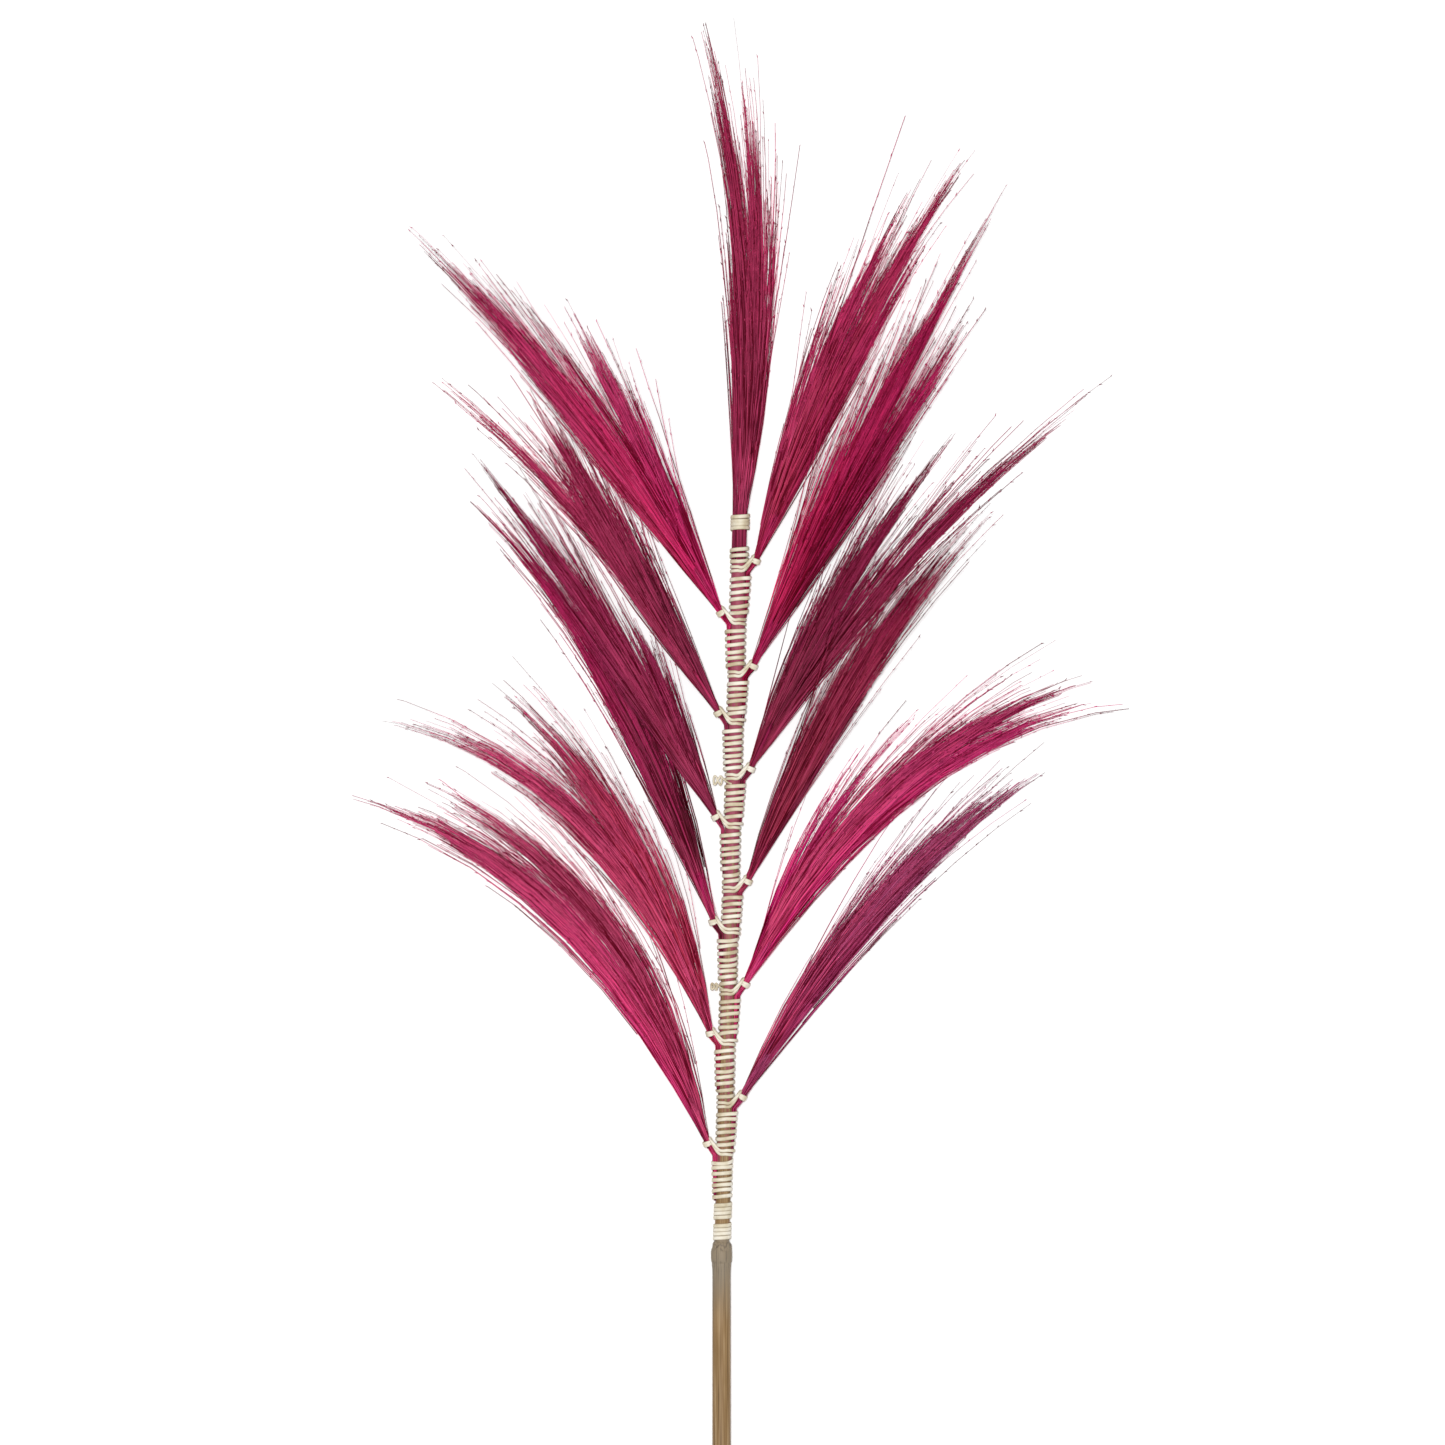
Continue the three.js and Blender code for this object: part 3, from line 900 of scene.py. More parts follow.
class FibreTree(GeometryTree):
    """The node tree that combs locks of fibre along middle lines.

    Heights over the table, the waves and the husks are millimetres; drift and loose are shares of a
    fan's length.
    """

    husk_gap = 11.0
    husk_radius = 0.42
    husk_length = 2.6
    lowest = 0.05
    strand_lowest = 0.25
    drift = 0.016
    loose = 0.13
    loose_power = 9.0
    wave = 5.0
    ripple = 1.7
    first_strand_draw = 40
    first_husk_draw = 90

    def __init__(self) -> None:
        """Builds the tree."""
        super().__init__("combed fibre")
        radius = self.size("Strand Radius")
        table = self.size("Table")
        seed = self.size("Seed", "NodeSocketInt")
        material = self.size("Material", "NodeSocketMaterial")
        combed = self._comb(self._lay_locks(seed), seed)
        placed = self._place(combed, table)
        trimmed = self._trim(placed)
        solid = self._sweep(trimmed, radius)
        husks = self._husks(trimmed, seed)
        joined = self.add("GeometryNodeJoinGeometry", {}, {"Geometry": solid})
        self.data.links.new(husks.socket, joined.inputs[0])
        place = self.combine(self.named("tint") + self.named("rim") * 0.0015, self.named("own"), 0.0)
        grounded = self._grounded(self.read(joined), table)
        mapped = self.keep(grounded, BAKE_MAP, place, Domain.CORNER, "FLOAT2")
        self.finish(mapped, material)

    def _grounded(self, geometry: Sig, table: Sig) -> Sig:
        """Lifts every point that is under the table onto it."""
        x, y, z = self.separate(self.read(self.add("GeometryNodeInputPosition", {}, {})))
        return self.place(geometry, self.combine(x, y, z.most(table + self.lowest)))

    def _draw(self, geometry: Sig, seed: Sig, names: dict[str, tuple[float, float]], first: int) -> Sig:
        """Stores one random number of each name on every line.

        Args:
            geometry: the lines.
            seed: the plume's seed.
            names: the least and the most of each number.
            first: what is added to the seed for the first.

        Returns:
            The lines with their numbers.
        """
        for index, (name, (low, high)) in enumerate(names.items()):
            drawn = self.chance(low, high, seed + (first + index))
            geometry = self.keep(geometry, name, drawn, Domain.CURVE)
        return geometry

    def _lay_locks(self, seed: Sig) -> Sig:
        """Copies each middle line once for each of its locks, and draws the locks' own numbers.

        Args:
            seed: the plume's seed.

        Returns:
            One line for each lock.
        """
        lines = self.read(self.add("GeometryNodeMeshToCurve", {}, {"Mesh": self.geometry()}), 0)
        inputs = {"Geometry": lines, "Amount": self.named("locks")}
        copies = self.read(self.add("GeometryNodeDuplicateElements", {"domain": "SPLINE"}, inputs), 0)
        names = {
            "lock_turn": (0.0, math.tau),
            "lock_reach": (0.0, 1.0),
            "lock_end": (0.0, 1.0),
            "lock_drift": (-1.0, 1.0),
            "lock_rise": (-1.0, 1.0),
            "lock_tint": (-1.0, 1.0),
            "lock_id": (0.0, 500.0),
        }
        return self._draw(copies, seed, names, 0)

    def _comb(self, locks: Sig, seed: Sig) -> Sig:
        """Copies each lock once for each of its strands, and draws the strands' own numbers.

        Args:
            locks: one line for each lock.
            seed: the plume's seed.

        Returns:
            One line for each strand, still on its middle line.
        """
        inputs = {"Geometry": locks, "Amount": self.named("strands")}
        copies = self.read(self.add("GeometryNodeDuplicateElements", {"domain": "SPLINE"}, inputs), 0)
        names = {
            "du": (-1.0, 1.0),
            "dv": (-1.0, 1.0),
            "cut": (0.0, 1.0),
            "sprout": (0.0, 1.0),
            "tone": (-1.0, 1.0),
            "wild": (-1.0, 1.0),
            "strand_id": (0.0, 900.0),
            "girth": (0.6, 1.25),
        }
        copies = self._draw(copies, seed, names, self.first_strand_draw)
        edge = self.math("ABSOLUTE", self.named("lock_reach") ** 0.5 * self.named("lock_turn").cos())
        loss = (self.named("lock_end") * 0.5 + edge ** 1.3 * 0.6).least(1.0)
        longest = 1.0 - loss * (1.0 - self.named("shortest"))
        copies = self.keep(copies, "longest", longest, Domain.CURVE)
        end = longest * (1.0 - self.named("cut") ** 0.75 * self.named("trimmed"))
        copies = self.keep(copies, "end", end, Domain.CURVE)
        start = ((self.named("sprout") - 0.55).most(0.0) * 0.7) * self.named("stray").least(1.0)
        copies = self.keep(copies, "start", start.least(end * 0.5), Domain.CURVE)
        middle = self.named("lock_reach") ** 0.5 * self.named("lock_turn").cos() * 0.7
        tint = self.named("tint_mid") + self.named("tint_span") * (middle + self.named("du") * 0.35)
        tint = tint + self.named("lock_tint") * 0.12 + self.named("tone") * 0.012
        return self.keep(copies, "tint", tint.most(0.0).least(1.0), Domain.CURVE)

    def _place(self, strands: Sig, table: Sig) -> Sig:
        """Moves every strand from its middle line to its own place in the fan.

        Args:
            strands: one line for each strand.
            table: the height of the table.

        Returns:
            The lines in their places.
        """
        share = self.named("share")
        own = (share / self.named("end")).least(1.0)
        tipward = (share / self.named("longest")).least(1.0)
        reach = self.named("lock_reach") ** 0.5
        turn = self.named("lock_turn")
        body = tipward.smooth(0.0, 0.42) * ((1.0 - tipward) ** 0.7 * 1.2 + 0.35).least(1.0)
        spread = self.named("spread") * (0.2 + body * 0.8)
        wide, deep = self.named("wide"), self.named("deep")
        wide = (wide - spread * 0.55).most(wide * 0.3)
        deep = (deep - spread * 0.3).most(deep * 0.3)
        length, stray = self.named("length"), self.named("stray")
        drift = self.named("lock_drift") * length * self.drift * share**2.0 * stray
        wild = self.named("wild")
        loose = self.math("ABSOLUTE", wild) ** self.loose_power * length * self.loose * share**1.7
        flyaway = loose * (wild * 0.5 + self.named("inner") * 0.6) * stray.most(0.3)
        wave_at = self.combine(self.named("lock_id"), share * 3.0, self.named("strand_id") * 0.004)
        wave = (self.noise(wave_at, 1.0, 1.0) - 0.5) * self.wave * share
        ripple_at = self.combine(self.named("strand_id"), share * 9.0, 3.0)
        ripple = (self.noise(ripple_at, 1.0, 1.0) - 0.5) * self.ripple * share
        x = wide * reach * turn.cos() + spread * self.named("du") + drift + flyaway + wave + ripple
        z = deep * reach * turn.sin() + spread * self.named("dv") * 0.45
        z = z + self.named("lock_rise") * 2.0 * share + ripple * 0.6
        across = self.vector("SCALE", self.named("across", "FLOAT_VECTOR"), x)
        upright = self.vector("SCALE", self.named("upright", "FLOAT_VECTOR"), z)
        here = self.read(self.add("GeometryNodeInputPosition", {}, {}), 0)
        moved = self.vector("ADD", here, self.vector("ADD", across, upright))
        px, py, pz = self.separate(moved)
        grounded = self.combine(px, py, pz.most(table + self.strand_lowest))
        return self.place(self.keep(strands, "own", own, Domain.POINT), grounded)

    def _trim(self, strands: Sig) -> Sig:
        """Cuts every strand to its own start and end."""
        inputs = {"Curve": strands, "Start": self.named("start"), "End": self.named("end")}
        return self.read(self.add("GeometryNodeTrimCurve", {"mode": "FACTOR"}, inputs), 0)

    def _sweep(self, strands: Sig, radius: Sig) -> Sig:
        """Gives every strand its thin tapered body.

        Args:
            strands: one line for each strand.
            radius: the thickest strand's radius.

        Returns:
            The strands' meshes.
        """
        own = self.named("own")
        taper = (0.5 + own.smooth(0.0, 0.25) * 0.5) * (1.0 - own.smooth(0.3, 1.0) * 0.5)
        girth = radius * taper * self.named("girth") * self.named("stout")
        inputs = {"Resolution": 3, "Radius": 1.0}
        circle = self.read(self.add("GeometryNodeCurvePrimitiveCircle", {}, inputs))
        rim = self.read(self.add("GeometryNodeInputIndex", {}, {})) * 0.5 - 0.5
        circle = self.keep(circle, "rim", rim, Domain.POINT)
        inputs = {"Curve": strands, "Profile Curve": circle, "Scale": girth, "Fill Caps": True}
        return self.read(self.add("GeometryNodeCurveToMesh", {}, inputs), 0)

    def _husks(self, strands: Sig, seed: Sig) -> Sig:
        """Sets small seed husks along the outer half of the strands.

        Args:
            strands: one line for each strand.
            seed: the plume's seed.

        Returns:
            The husks' meshes.
        """
        inputs = {"Curve": strands, "Length": self.husk_gap}
        points = self.add("GeometryNodeCurveToPoints", {"mode": "LENGTH"}, inputs)
        spots, facing = self.read(points, "Points"), self.read(points, "Rotation")
        share = self.named("own").smooth(0.2, 0.8) * self.named("husks")
        draw = self.first_husk_draw
        inputs = {"Geometry": spots, "Selection": self.chance(0.0, 1.0, seed + draw).above(share)}
        left = self.read(self.add("GeometryNodeDeleteGeometry", {"domain": "POINT"}, inputs), 0)
        shape = {
            "Vertices": 3, "Side Segments": 1, "Radius Top": 0.0,
            "Radius Bottom": self.husk_radius, "Depth": self.husk_length,
        }
        cone = self.read(self.add("GeometryNodeMeshCone", {"fill_type": "NGON"}, shape), "Mesh")
        x, _, _ = self.separate(self.read(self.add("GeometryNodeInputPosition", {}, {})))
        cone = self.keep(cone, "rim", x, Domain.POINT)
        tilt = self.combine(
            self.chance(-0.5, 0.5, seed + (draw + 1)), self.chance(-0.5, 0.5, seed + (draw + 2)),
            self.chance(0.0, 6.0, seed + (draw + 3)),
        )
        turn = self.read(self.add("FunctionNodeEulerToRotation", {}, {"Euler": tilt}))
        inputs = {"Rotation": facing, "Rotate By": turn}
        turned = self.read(self.add("FunctionNodeRotateRotation", {"rotation_space": "LOCAL"}, inputs))
        size = self.chance(0.6, 1.35, seed + (draw + 4))
        scale = self.combine(size, size, size)
        inputs = {"Points": left, "Instance": cone, "Rotation": turned, "Scale": scale}
        set_out = self.read(self.add("GeometryNodeInstanceOnPoints", {}, inputs))
        real = self.read(self.add("GeometryNodeRealizeInstances", {}, {"Geometry": set_out}))
        return self.keep(real, "own", self.named("own") * 0.4 + 0.6, Domain.POINT)


def guide_mesh(name: str, lines: Sequence[tuple[list, Tuft]], inner: float) -> bpy.types.Mesh:
    """Joins middle lines into one mesh of edges.

    Args:
        name: the mesh's name.
        lines: each line's points, with their directions and half sizes, and its fan.
        inner: the sign of the side that faces the top of the branch.

    Returns:
        A mesh whose points carry what the fibre tree needs.
    """
    points: list[Vector] = []
    edges: list[tuple[int, int]] = []
    kept: dict[str, list[float]] = {
        key: []
        for key in (
            "share", "wide", "deep", "length", "shortest", "stray", "tint_mid", "tint_span", "spread",
            "husks", "trimmed", "stout", "inner",
        )
    }
    locks: list[int] = []
    strands: list[int] = []
    across: list[float] = []
    upright: list[float] = []
    for arc, tuft in lines:
        for index, (share, place, right, up, wide, deep) in enumerate(arc):
            if index:
                edges.append((len(points) - 1, len(points)))
            points.append(place)
            row = (
                share, wide, deep, tuft.length, tuft.shortest, tuft.stray, tuft.tint, tuft.span,
                tuft.spread, tuft.husks, tuft.cut, tuft.stout, inner,
            )
            for values, value in zip(kept.values(), row):
                values.append(value)
            locks.append(tuft.locks)
            strands.append(tuft.strands)
            across.extend(right)
            upright.extend(up)
    mesh = bpy.data.meshes.new(name)
    mesh.from_pydata(points, edges, [])
    for key, values in kept.items():
        mesh.attributes.new(key, "FLOAT", "POINT").data.foreach_set("value", values)
    mesh.attributes.new("locks", "INT", "POINT").data.foreach_set("value", locks)
    mesh.attributes.new("strands", "INT", "POINT").data.foreach_set("value", strands)
    mesh.attributes.new("across", "FLOAT_VECTOR", "POINT").data.foreach_set("vector", across)
    mesh.attributes.new("upright", "FLOAT_VECTOR", "POINT").data.foreach_set("vector", upright)
    return mesh


def smoothstep(value: float, low: float, high: float) -> float:
    """0 below low and 1 above high, with a soft step between."""
    share = min(max((value - low) / (high - low), 0.0), 1.0)
    return share * share * (3 - 2 * share)


def smooth_path(points: Sequence[Vector], parts: int) -> list[Vector]:
    """A rounded line through points.

    Args:
        points: what the line goes through.
        parts: how many steps lie between each two.

    Returns:
        The line's points.
    """
    ends = [points[0], *points, points[-1]]
    made = []
    for a, b, c, d in zip(ends, ends[1:], ends[2:], ends[3:]):
        for i in range(parts):
            t = i / parts
            straight = b * 2 + (c - a) * t
            curved = (a * 2 - b * 5 + c * 4 - d) * t**2 + (b * 3 - a - c * 3 + d) * t**3
            made.append((straight + curved) / 2)
    return made + [points[-1].copy()]


def settle(piece: bpy.types.Object, slot: str, *nodes: str) -> bpy.types.Object:
    """Lets a finished piece stand for its CAD nodes and ride on the branch's one body.

    Args:
        piece: the finished piece.
        slot: its material slot, which is not used.
        nodes: the CAD nodes that it stands for.

    Returns:
        The same piece.
    """
    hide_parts(*nodes)
    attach(piece, "root")
    log.info("%s: %d faces", piece.name, len(piece.data.polygons))
    return piece


# ---------------------------------------------------------------------------------------------
# Binding


@dataclass
class Bundle:
    """The core with the stems that lie against it, which the strip is wound on."""

    stem: Stem
    plumes: Sequence[Plume]
    around: int = 72
    row_height: float = 1.5

    def ovals(self, y: float) -> list[tuple[float, float, float, float, float]]:
        """The sections of all that lies at a height.

        Args:
            y: the height above the node.

        Returns:
            Each section's middle x and z, turn, half thickness and half width.
        """
        if y > self.stem.core_length:
            radius = self.stem.top_stem_radius
            return [(0.0, 0.0, 0.0, radius, radius)]
        found = [(0.0, 0.0, 0.0, self.stem.core_radius, self.stem.core_radius)]
        for plume in self.plumes:
            top = plume.station - self.stem.neck_rise
            share = (y - top) / self.stem.tongue_length + 1
            if 0 <= share <= 1 and not isinstance(plume, TopPlume):
                found.append(self.stem.tongue(plume.side, share))
        return found

    def outline(self, y: float, offset: float) -> list[tuple[float, float]]:
        """The taut outline round everything at a height.

        Args:
            y: the height above the node.
            offset: how far it stands off.

        Returns:
            Points (x, z), in order round the core.
        """
        angles = [math.tau * i / self.around for i in range(self.around)]
        reach = []
        for angle in angles:
            c, s = math.cos(angle), math.sin(angle)
            far = []
            for x, z, turn, thick, wide in self.ovals(y):
                along = c * math.cos(turn) + s * math.sin(turn)
                aside = -c * math.sin(turn) + s * math.cos(turn)
                far.append(x * c + z * s + math.hypot(thick * along, wide * aside))
            reach.append(max(far) + offset)
        points = []
        step = math.tau / self.around
        for i, angle in enumerate(angles):
            here, after = reach[i], reach[(i + 1) % self.around]
            bend = (after - here * math.cos(step)) / math.sin(step)
            c, s = math.cos(angle), math.sin(angle)
            points.append((here * c - bend * s, here * s + bend * c))
        return points

    def surface(self, y: float, out: Vector, offset: float) -> Vector:
        """The point of the taut outline at a height that lies furthest out one way."""
        x, z = max(self.outline(y, offset), key=lambda p: p[0] * out.x + p[1] * out.z)
        return Vector((x, y, z))

    def form(self, low: float, high: float, offset: float) -> tuple[list[Vector], list[list[int]]]:
        """The surface that a strip is wound on between two heights.

        Args:
            low: the lower height.
            high: the upper height.
            offset: how far it stands off the stems.

        Returns:
            Its points and faces.
        """
        rows = max(int((high - low) / self.row_height), 4)
        points, faces = [], []
        for row in range(rows + 1):
            y = low + (high - low) * row / rows
            points += [Vector((x, y, z)) for x, z in self.outline(y, offset)]
        for row in range(rows):
            for i in range(self.around):
                j = (i + 1) % self.around
                a, b = row * self.around + i, row * self.around + j
                faces.append([b, a, a + self.around, b + self.around])
        return points, faces


class StripTree(GeometryTree):
    """A node tree that sweeps a half-round strip along lines."""

    def sweep(self, line: Sig, facing: Sig, width: Sig, thickness: Sig, material: Sig) -> None:
        """Sweeps the strip along a line and finishes the tree.

        Args:
            line: the curve that the strip's middle follows.
            facing: the way that its back faces at each point.
            width: its width.
            thickness: its thickness.
            material: its material.
        """
        inputs = {"Curve": line, "Normal": facing}
        turned = self.read(self.add("GeometryNodeSetCurveNormal", {"mode": "FREE"}, inputs))
        factor = self.read(self.add("GeometryNodeSplineParameter", {}, {}), "Length")
        turned = self.keep(turned, "along", factor, Domain.POINT)
        inputs = {"Resolution": 10, "Radius": 0.5}
        ring = self.read(self.add("GeometryNodeCurvePrimitiveCircle", {}, inputs))
        x, y, _ = self.separate(self.read(self.add("GeometryNodeInputPosition", {}, {})))
        ring = self.keep(ring, "across", y + 0.5, Domain.POINT)
        flat = self.combine(x * thickness, y * width, 0.0)
        ring = self.place(ring, flat)
        inputs = {"Curve": turned, "Profile Curve": ring, "Fill Caps": True}
        solid = self.read(self.add("GeometryNodeCurveToMesh", {}, inputs))
        place = self.combine(self.named("across"), self.named("along") * 0.002, 0.0)
        self.finish(self.keep(solid, BAKE_MAP, place, Domain.CORNER, "FLOAT2"), material)


class WindingTree(StripTree):
    """A node tree that winds a strip round a surface, turn by turn."""

    points_a_turn = 40.0
    reach = 40.0
    sway = 2.4
    slant = 7.0

    def __init__(self) -> None:
        """Builds the tree."""
        super().__init__("wound strip")
        low, high = self.size("Low"), self.size("High")
        turns, start = self.size("Turns"), self.size("Start Turn")
        width, thickness = self.size("Width"), self.size("Thickness")
        seed, uneven = self.size("Seed"), self.size("Wobble")
        material = self.size("Material", "NodeSocketMaterial")
        count = self.math("ROUND", turns * self.points_a_turn)
        line = self.read(self.add("GeometryNodeMeshLine", {"mode": "OFFSET"}, {"Count": count}), 0)
        index = self.read(self.add("GeometryNodeInputIndex", {}, {}))
        share = index / (count - 1.0)
        turn = share * turns
        sway = (self.noise(self.combine(turn * 0.9, seed, 0.0), 1.0, 1.0) - 0.5) * self.sway
        slant = (self.noise(self.combine(turn * 0.35, seed, 5.0), 1.0, 1.0) - 0.5) * self.slant
        angle = (turn + start) * math.tau
        height = low + (high - low) * share + (sway + slant * angle.cos()) * uneven
        height = height.most(low).least(high)
        outside = self.combine(angle.sin() * self.reach, height, angle.cos() * self.reach)
        inward = self.combine(0.0 - angle.sin(), 0.0, 0.0 - angle.cos())
        inputs = {
            "Target Geometry": self.geometry(), "Source Position": outside, "Ray Direction": inward,
            "Ray Length": 2 * self.reach,
        }
        ray = self.add("GeometryNodeRaycast", {"data_type": "FLOAT"}, inputs)
        hit, facing = self.read(ray, "Hit Position"), self.read(ray, "Hit Normal")
        line = self.keep(line, "facing", facing, Domain.POINT, "FLOAT_VECTOR")
        raised = self.vector("ADD", hit, self.vector("SCALE", facing, thickness * 0.5))
        line = self.place(line, raised)
        curve = self.read(self.add("GeometryNodeMeshToCurve", {}, {"Mesh": line}))
        self.sweep(curve, self.named("facing", "FLOAT_VECTOR"), width, thickness, material)


class LashTree(StripTree):
    """A node tree that sweeps a strip along given lines, for loops and knots."""

    def __init__(self) -> None:
        """Builds the tree."""
        super().__init__("lashed strip")
        width, thickness = self.size("Width"), self.size("Thickness")
        material = self.size("Material", "NodeSocketMaterial")
        curve = self.read(self.add("GeometryNodeMeshToCurve", {}, {"Mesh": self.geometry()}))
        self.sweep(curve, self.named("facing", "FLOAT_VECTOR"), width, thickness, material)


@dataclass
class Binding:
    """The strip: its stretches of turns, the collars on the necks, and the knots."""

    bundle: Bundle
    finish: StripFinish
    width: float = 3.3
    thickness: float = 1.25
    pitch: float = 5.0
    tight_pitch: float = 3.3
    stand_off: float = 0.2
    runout: float = 0.6
    tight: Sequence[str] = ("winding_01",)
    banded: str = "winding_14"
    band: float = 15.0
    band_gap: float = 1.4
    band_inset: float = 1.0
    band_wobble: float = 0.15
    form_margin: float = 3.0
    neck_gap: float = 0.45
    leg_angles: tuple[float, float] = (-150.0, 35.0)
    lower_leg: tuple[float, float] = (-2.4, -0.6)
    upper_leg: tuple[float, float] = (2.2, 1.6)
    leg_steps: int = 4
    loops: float = 1.75
    loop_steps: int = 14
    loop_slim: float = 0.8
    knot_steps: int = 13
    knot_slim: float = 0.5

    def build(self) -> None:
        """Builds every stretch, collar and knot."""
        material = self.finish.material()
        winding, lash = WindingTree(), LashTree()
        nodes = sorted(name for name in frame["nodes"] if name.startswith("winding_"))
        for index, node in enumerate(nodes):
            self.wind(node, index, winding, material)
        for plume in self.bundle.plumes:
            if not isinstance(plume, TopPlume):
                self.lash(plume, lash, material)
        self.knot("strip_knot_1", lash, material)
        self.knot("strip_knot_2", lash, material)

    def span(self, node: str) -> tuple[float, float]:
        """The lower and upper height of a stretch, measured on its CAD sleeve.

        Args:
            node: the CAD node of the stretch.

        Returns:
            Both heights above the node of the cane.
        """
        low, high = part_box(node)
        inverse = self.bundle.stem.crown().inverted()
        middle = (low + high) / 2
        lean = math.radians(self.bundle.stem.lean)
        slack = (high.x - low.x) * math.tan(lean) / 2
        start = inverse @ Vector((middle.x, low.y + slack, middle.z))
        end = inverse @ Vector((middle.x, high.y - slack, middle.z))
        return start.y, end.y

    def wind(self, node: str, index: int, tree: WindingTree, material: bpy.types.Material) -> None:
        """Winds one stretch, which has close bands at its foot if it is the banded one.

        Args:
            node: the CAD node of the stretch.
            index: its number from the top, which seeds its wobble.
            tree: the winding tree.
            material: the strip's material.
        """
        low, high = self.span(node)
        points, faces = self.bundle.form(low - self.form_margin, high + self.form_margin, self.stand_off)
        half = self.width / 2 + self.runout * 0.2
        bands = [(f"strip_{node}", low, high, self.tight_pitch if node in self.tight else self.pitch)]
        if node == self.banded:
            first, second = low + self.band, low + self.band * 2 + self.band_gap
            bands = [
                (f"strip_{node}", second, high, self.pitch),
                (f"strip_{node}_upper_band", first + self.band_gap, second, self.tight_pitch),
                (f"strip_{node}_lower_band", low, first, self.tight_pitch),
            ]
        for name, start, end, pitch in bands:
            form = bpy.data.meshes.new(f"{name} form")
            form.from_pydata(points, [], faces)
            close = node == self.banded and pitch == self.tight_pitch
            inset = self.band_inset if close else half
            turns = max((end - start - 2 * inset) / pitch, 1.0)
            wobble = self.band_wobble if close else 1.0
            values = {
                "Low": start + inset, "High": end - inset, "Turns": float(round(turns)), "Wobble": wobble,
                "Start Turn": 0.5, "Width": self.width, "Thickness": self.thickness,
                "Seed": float(index * 7 + 3), "Material": material,
            }
            piece = tree.run(name, form, values)
            piece.data.transform(self.bundle.stem.crown())
            settle(piece, self.finish.slot, node)

    def lash(self, plume: Plume, tree: LashTree, material: bpy.types.Material) -> None:
        """Winds the collar of one neck, with a leg on each side of it over the front of the stalk.

        Args:
            plume: whose neck it is.
            tree: the lashing tree.
            material: the strip's material.
        """
        stem = self.bundle.stem
        middle = plume.collar(stem)
        neck = plume.direction(plume.tufts[0].lean)
        right = Vector((neck.y, -neck.x, 0.0)) * plume.side.value
        up = Vector((0, 0, 1))
        radius = stem.neck_radius + self.neck_gap + self.thickness / 2
        gap = plume.station - stem.neck_rise + 2.5
        points: list[Vector] = []
        facing: list[Vector] = []

        def over(y: float, degrees: float) -> None:
            """Adds a point on the stalk, at an angle from its front towards the neck.

            Args:
                y: its height.
                degrees: its angle.
            """
            angle = math.radians(degrees)
            out = Vector((plume.side.value * math.sin(angle), 0.0, math.cos(angle)))
            points.append(self.bundle.surface(y, out, self.stand_off + self.thickness / 2))
            facing.append(out)

        def round_neck(turns: float, run: float) -> None:
            """Adds a point on the neck.

            Args:
                turns: its turns from the front.
                run: its place along the neck.
            """
            angle = math.tau * turns
            out = up * math.cos(angle) + right * math.sin(angle)
            points.append(middle + out * radius + neck * run)
            facing.append(out)

        def leg(heights: tuple[float, float], angles: Sequence[float]) -> None:
            """Adds a leg over the stalk.

            Args:
                heights: its first and last height from the gap.
                angles: its first and last angle.
            """
            for i in range(self.leg_steps + 1):
                share = i / self.leg_steps
                y = heights[0] + (heights[1] - heights[0]) * share
                over(gap + y, angles[0] + (angles[1] - angles[0]) * share)

        leg(self.lower_leg, self.leg_angles)
        for i in range(self.loop_steps + 1):
            share = i / self.loop_steps
            round_neck(-0.12 + (self.loops + 0.24) * share, -2.0 + 4.0 * share)
        leg(self.upper_leg, self.leg_angles[::-1])
        rounded, turned = smooth_path(points, 8), smooth_path(facing, 8)
        piece = self._run(tree, f"loop_{plume.name}", rounded, turned, material, self.loop_slim)
        settle(piece, self.finish.slot, f"collar_{plume.name}")

    def knot(self, node: str, tree: LashTree, material: bpy.types.Material) -> None:
        """Ties one strip end, which comes out of the binding, into a small crossed knot.

        Args:
            node: the CAD node of the knot.
            tree: the lashing tree.
            material: the strip's material.
        """
        low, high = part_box(node)
        inverse = self.bundle.stem.crown().inverted()
        middle = inverse @ ((low + high) / 2)
        half = ((high - low) / 2) / MM
        side = math.copysign(1.0, middle.x)
        out = Vector((side * 0.8, 0.0, 0.6))
        stand = self.stand_off + self.thickness / 2
        points = [
            self.bundle.surface(middle.y - 2.5, Vector((side * 0.2, 0.0, 1.0)), stand),
            self.bundle.surface(middle.y - 1.0, out, stand),
        ]
        facing = [Vector((0.0, 0.0, 1.0)), out]
        for i in range(self.knot_steps + 1):
            t = 0.4 + (math.tau + 1.0) * i / self.knot_steps
            x = half.x * 0.7 * math.cos(t) * -side
            y = half.y * 0.8 * math.sin(2 * t)
            z = half.z * 0.55 * math.cos(3 * t)
            points.append(middle + Vector((x, y, z)))
            facing.append(Vector((0.4 * math.cos(t), 0.4 * math.sin(t), 1.0)).normalized())
        rounded, turned = smooth_path(points, 6), smooth_path(facing, 6)
        piece = self._run(tree, f"knot_{node}", rounded, turned, material, self.knot_slim)
        settle(piece, self.finish.slot, node)

